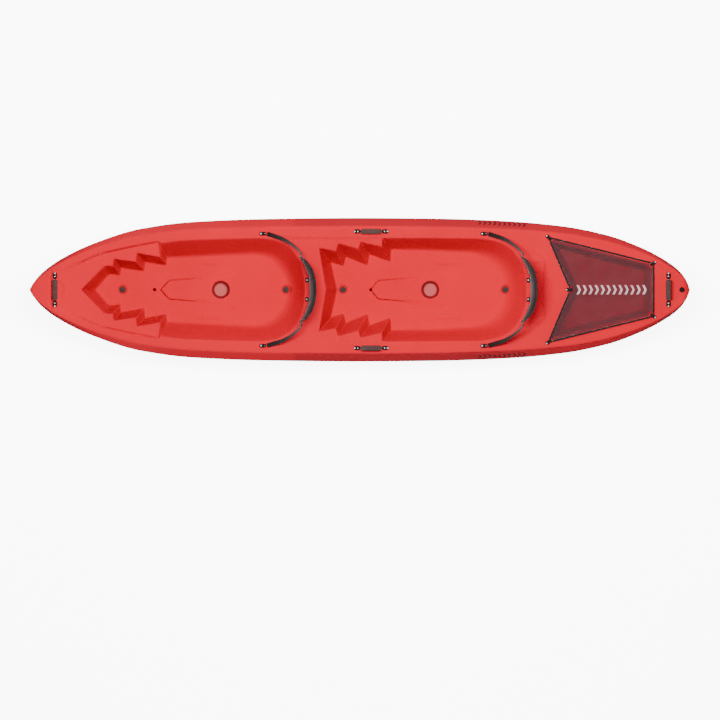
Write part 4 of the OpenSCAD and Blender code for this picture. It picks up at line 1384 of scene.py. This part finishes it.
ANCHOR = Vector((-552, 319, 330))
anchor_screw_places, flap_screw_places = [], []
for which, shift in (("front", Vector()), ("rear", REAR_SHIFT)):
    flap(which, shift)
    bm = bmesh.new()
    for side in (1, -1):
        ladder_buckle(bm, Vector((-330, side * 203, 441)) + shift, side * 40)
    piece = dress(soften(finish_mesh(bm, f"{which}_buckles")), BLACK,
        f"{which}_backrest_body", [f"{which}_strap_buckles"])
    bm = bmesh.new()
    for side in (1, -1):
        new = soft_plate(bm, 40, 22, 3)
        arch = [Vector((7, y, z)) for y, z in ((-8.4, 2), (-7.8, 3.6), (0, 4.1), (7.8, 3.6), (8.4, 2))]
        new += bent_grid(bm, 16, 32, ring_place(arch, 6.5, 1.1, power=4, up=(0, 0, 1)))
        at = Vector((ANCHOR.x, side * ANCHOR.y, ANCHOR.z)) + shift
        bmesh.ops.transform(bm, matrix=Matrix.Translation(at * MM) @ Matrix.Scale(MM, 4), verts=new)
        anchor_screw_places += [(at + Vector((x, 0, 3))) * MM for x in (-10, 10)]
    dress(soften(finish_mesh(bm, f"{which}_brackets")), BLACK, "boat",
        [f"{which}_strap_anchors"])
    flap_screw_places += [(HINGE + shift + Vector((-9, y, -1))) * MM for y in (-55, 55)]
add_screws("anchor_screw_heads", anchor_screw_places, 0.004, "boat", ["anchor_screws"])
add_screws("flap_screw_heads", flap_screw_places, 0.0035, "boat", ["flap_screws"])
print("flaps, buckles and brackets placed")

# %% [markdown]
# ## Bungs
# A rubber bung fills each scupper. Its stem is turned as one profile with two sealing lips,
# and a ring on top pulls it out.

# %% Bungs
def bung(node):
    low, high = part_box(node)
    x = (low.x + high.x) / 2 / MM
    seat = high.z / MM - 14
    bm = bmesh.new()
    spun(bm, [(0, seat - 40), (11.5, seat - 40), (13.6, seat - 38), (14.4, seat - 35), (14.9, seat - 30),
        (13.9, seat - 27), (13.9, seat - 20), (14.9, seat - 17), (13.9, seat - 14), (14.4, seat - 4),
        (14.6, seat), (17.6, seat), (18.4, seat + 0.8), (18.4, seat + 2.8), (17.4, seat + 3.8),
        (15.2, seat + 3.9), (14.2, seat + 3.0), (12.8, seat + 2.8), (6, seat + 3.2), (0, seat + 3.9)], (x, 0))
    bmesh.ops.scale(bm, vec=(MM, MM, MM), verts=bm.verts)
    arch = [Vector((x + 8 * math.cos(a), 0, seat + 3.4 + 8.4 * math.sin(a))) * MM
        for a in np.linspace(0, math.pi, 13)]
    bent_grid(bm, 14, 48, ring_place(arch, 2.2 * MM, 1.8 * MM, power=2.6, up=(0, 1, 0)))
    piece = soften(finish_mesh(bm, node + "_rubber"))
    return dress(piece, BUNG, BUNG_BODIES[node], [node])


for node in BUNG_BODIES:
    bung(node)
print("bungs:", len(BUNG_BODIES))

# %% [markdown]
# ## Cargo cover
# A loop of shock cord runs through five hooks round the aft well. A sleeve holds it at the
# edge of a stretched mesh. The weave of the mesh is cut by its material, and its UV map is
# in metres, so the holes keep their size.

# %% Cord and sleeve
NOTCH, FRONT_CORNER, BACK_CORNER = Vector((1200, 0)), Vector((1075, 298)), Vector((1672, 150))
CORD_R, COVER_LIFT, HOOK_ARCH = 4, 8, 12.5


def cover_height(x):
    return float(sheer(max(x, 1078)))


def cover_line():
    half = [NOTCH.lerp(FRONT_CORNER, t) for t in (0.03, 0.3, 0.6, 0.9, 0.97)]
    half += [FRONT_CORNER.lerp(BACK_CORNER, t) for t in (0.015, 0.05, 0.2, 0.35, 0.5, 0.65, 0.8, 0.95, 0.985)]
    middle_aft = Vector((BACK_CORNER.x, 0))
    half += [BACK_CORNER.lerp(middle_aft, t) for t in (0.04, 0.15, 0.6)]
    line = half + [Vector((p.x, -p.y)) for p in reversed(half)]
    return [Vector((p.x, p.y, cover_height(p.x) + COVER_LIFT)) * MM for p in line]


def hooked(corner, turn):
    way = math.radians(turn)
    return (corner.x - 5 * math.cos(way), corner.y - 5 * math.sin(way), turn)


HOOKS = [hooked(NOTCH - Vector((9, 0)), 180), hooked(FRONT_CORNER, 139), hooked(BACK_CORNER, 38),
    hooked(Vector((FRONT_CORNER.x, -FRONT_CORNER.y)), -139),
    hooked(Vector((BACK_CORNER.x, -BACK_CORNER.y)), -38)]
bm = bmesh.new()
cord = ring_place(cover_line(), CORD_R * MM, CORD_R * MM, loop=True)
bent_grid(bm, 12, 520, cord, loop=True, size=(0.025, 2.2))
dress(finish_mesh(bm, "cord_loop"), CORD, "boat", ["cargo_bungee"])


def near_hook(point, reach):
    return any(math.hypot(point.x / MM - x, point.y / MM - y) < reach for x, y, _ in HOOKS)


bm = bmesh.new()
around_cord = ring_place(cover_line(), (CORD_R + 1.4) * MM, (CORD_R + 1.2) * MM, loop=True)
bent_grid(bm, 14, 620, around_cord, loop=True, size=(0.035, 2.2))
open_at = [v for v in bm.verts if near_hook(v.co, 19)]
bmesh.ops.delete(bm, geom=open_at, context="VERTS")
sleeve = dress(finish_mesh(bm, "mesh_sleeve"), BINDING, "boat", ["mesh_hem"])
turned = sleeve.modifiers.new("cloth", "SOLIDIFY")
turned.thickness, turned.offset = 0.0008, -1
print("cord points:", len(cover_line()))

# %% Mesh
MESH_INSET = CORD_R + 2


def mesh_place(u, v):
    side = abs(v)
    tip = Vector((NOTCH.x + 1.1 * MESH_INSET, 0))
    front = tip.lerp(FRONT_CORNER + Vector((1.6, -1.45)) * MESH_INSET, side)
    back = Vector((BACK_CORNER.x - MESH_INSET, (BACK_CORNER.y - 1.3 * MESH_INSET) * side))
    p = front.lerp(back, u)
    sag = 2.2 * math.sin(math.pi * u) * math.cos(math.pi / 2 * v)
    return Vector((p.x, math.copysign(p.y, v) if v else 0, cover_height(p.x) + COVER_LIFT - sag)) * MM


bm = bmesh.new()
uv = bm.loops.layers.uv.verify()
made = bmesh.ops.create_grid(bm, x_segments=60, y_segments=60, size=1)["verts"]
for v in made:
    v.co = mesh_place((v.co.x + 1) / 2, v.co.y)
for face in bm.faces:
    for corner in face.loops:
        corner[uv].uv = corner.vert.co.xy
gone = [v for v in bm.verts if near_hook(v.co, 17)]
bmesh.ops.delete(bm, geom=gone, context="VERTS")
bmesh.ops.recalc_face_normals(bm, faces=bm.faces)
net = dress(finish_mesh(bm, "cargo_net"), NET, "boat", ["cargo_mesh"])

# %% Hooks
bm = bmesh.new()
hook_screw_places, leans = [], []
for x, y, turn in HOOKS:
    tilt = math.atan2(cover_height(x + 20) - cover_height(x - 20), 40)
    z = 0.5 + max(cover_height(x), float(sheer(1060)) if x < 1300 else 0)
    place = Matrix.Translation((x * MM, y * MM, z * MM)) @ Matrix.Rotation(-tilt, 4, "Y") @ Matrix.Rotation(
        math.radians(turn), 4, "Z")
    new = soft_plate(bm, 40, 20, 2.4, 1.0)
    for v in new:
        v.co.x += 4
    arch = [Vector((HOOK_ARCH * math.cos(a), 0, 1.6 + HOOK_ARCH * math.sin(a)))
        for a in np.linspace(0, math.pi, 15)]
    new += bent_grid(bm, 14, 56, ring_place(arch, 2.6, 1.7, power=2.6, up=(0, 1, 0)))
    bmesh.ops.transform(bm, matrix=place @ Matrix.Scale(MM, 4), verts=new)
    hook_screw_places.append(place @ (Vector((18.2, 0, 2.4)) * MM))
    leans.append(Matrix.Rotation(-tilt, 4, "Y"))
bmesh.ops.recalc_face_normals(bm, faces=bm.faces)
dress(soften(finish_mesh(bm, "cover_hooks")), BLACK, "boat", ["cargo_hooks"])
add_screws("hook_screw_heads", hook_screw_places, 0.0035, "boat", ["cargo_hook_screws"], leans)
print("hooks:", len(HOOKS))

# %% [markdown]
# ## Generic marks
# The real boat carries lettering on both sides and on the mesh. Here a plain row of chevrons
# stands in its place. Each one is laid on the surface by casting rays at it.

# %% Marks
from mathutils.bvhtree import BVHTree
MARK_X, MARK_Z = (665, 945), (240, 285)
MARK_LENGTHS = (11,) * 10


def lay_chevrons(bm, start, lengths, gap, tall, slant, land):
    """A row of chevrons; land(x, t) gives the place of a point along and up the mark."""
    x = start
    for length in lengths:
        made = bmesh.ops.create_grid(bm, x_segments=max(4, int(length / 5)), y_segments=8, size=1)["verts"]
        for v in made:
            a, b = (v.co.x + 1) / 2, (v.co.y + 1) / 2
            v.co = land(x + a * length + slant * (0.5 - abs(b - 0.5)) * tall, b)
        x += length + gap
    return x


graph = bpy.context.evaluated_depsgraph_get()
hull_tree = BVHTree.FromObject(hull, graph)
for side, side_name in ((1, "starboard"), (-1, "port")):
    def on_side(x, t):
        z = MARK_Z[0] + (MARK_Z[1] - MARK_Z[0]) * t
        hit, normal, _, _ = hull_tree.ray_cast(Vector((x, side * 700, z)) * MM, Vector((0, -side, 0)))
        return hit + normal * 0.0004

    bm = bmesh.new()
    lay_chevrons(bm, MARK_X[0] + 8, MARK_LENGTHS, 17, MARK_Z[1] - MARK_Z[0], 0.5, on_side)
    bmesh.ops.recalc_face_normals(bm, faces=bm.faces)
    if sum(f.normal.y for f in bm.faces) * side < 0:
        bmesh.ops.reverse_faces(bm, faces=bm.faces)
    dress(finish_mesh(bm, f"{side_name}_mark"), PRINT_DARK, "boat")


def on_mesh(x, t):
    y = -26 + 52 * t
    sag_point = mesh_place(min(1, max(0, (x - 1207) / 459)), 0)
    return Vector((x * MM, y * MM, sag_point.z + 0.0022))


bm = bmesh.new()
lay_chevrons(bm, 1235, (12,) * 12, 22, 52, 0.5, on_mesh)
uv = bm.loops.layers.uv.verify()
for face in bm.faces:
    for corner in face.loops:
        corner[uv].uv = corner.vert.co.xy
bmesh.ops.recalc_face_normals(bm, faces=bm.faces)
if sum(f.normal.z for f in bm.faces) < 0:
    bmesh.ops.reverse_faces(bm, faces=bm.faces)
dress(finish_mesh(bm, "mesh_mark"), NET_PRINT, "boat")
print("marks laid")

# %% [markdown]
# ## Parts that keep their shape
# The drain socket, its gasket, the drain plug and the stiffening boards are right as they
# come, so each only gets a finish worked out from nodes.

# %% Finish the rest
KEPT = {"drain_socket": BLACK, "drain_plug": BLACK, "drain_gasket": BUNG, "front_backrest_board": BLACK,
    "rear_backrest_board": BLACK}
for piece in bpy.data.objects:
    if piece.type != "MESH":
        continue
    for node, paint in KEPT.items():
        if piece.name.split(".")[0] == node:
            for slot in piece.material_slots:
                slot.material = paint
print("kept nodes:", ", ".join(KEPT))
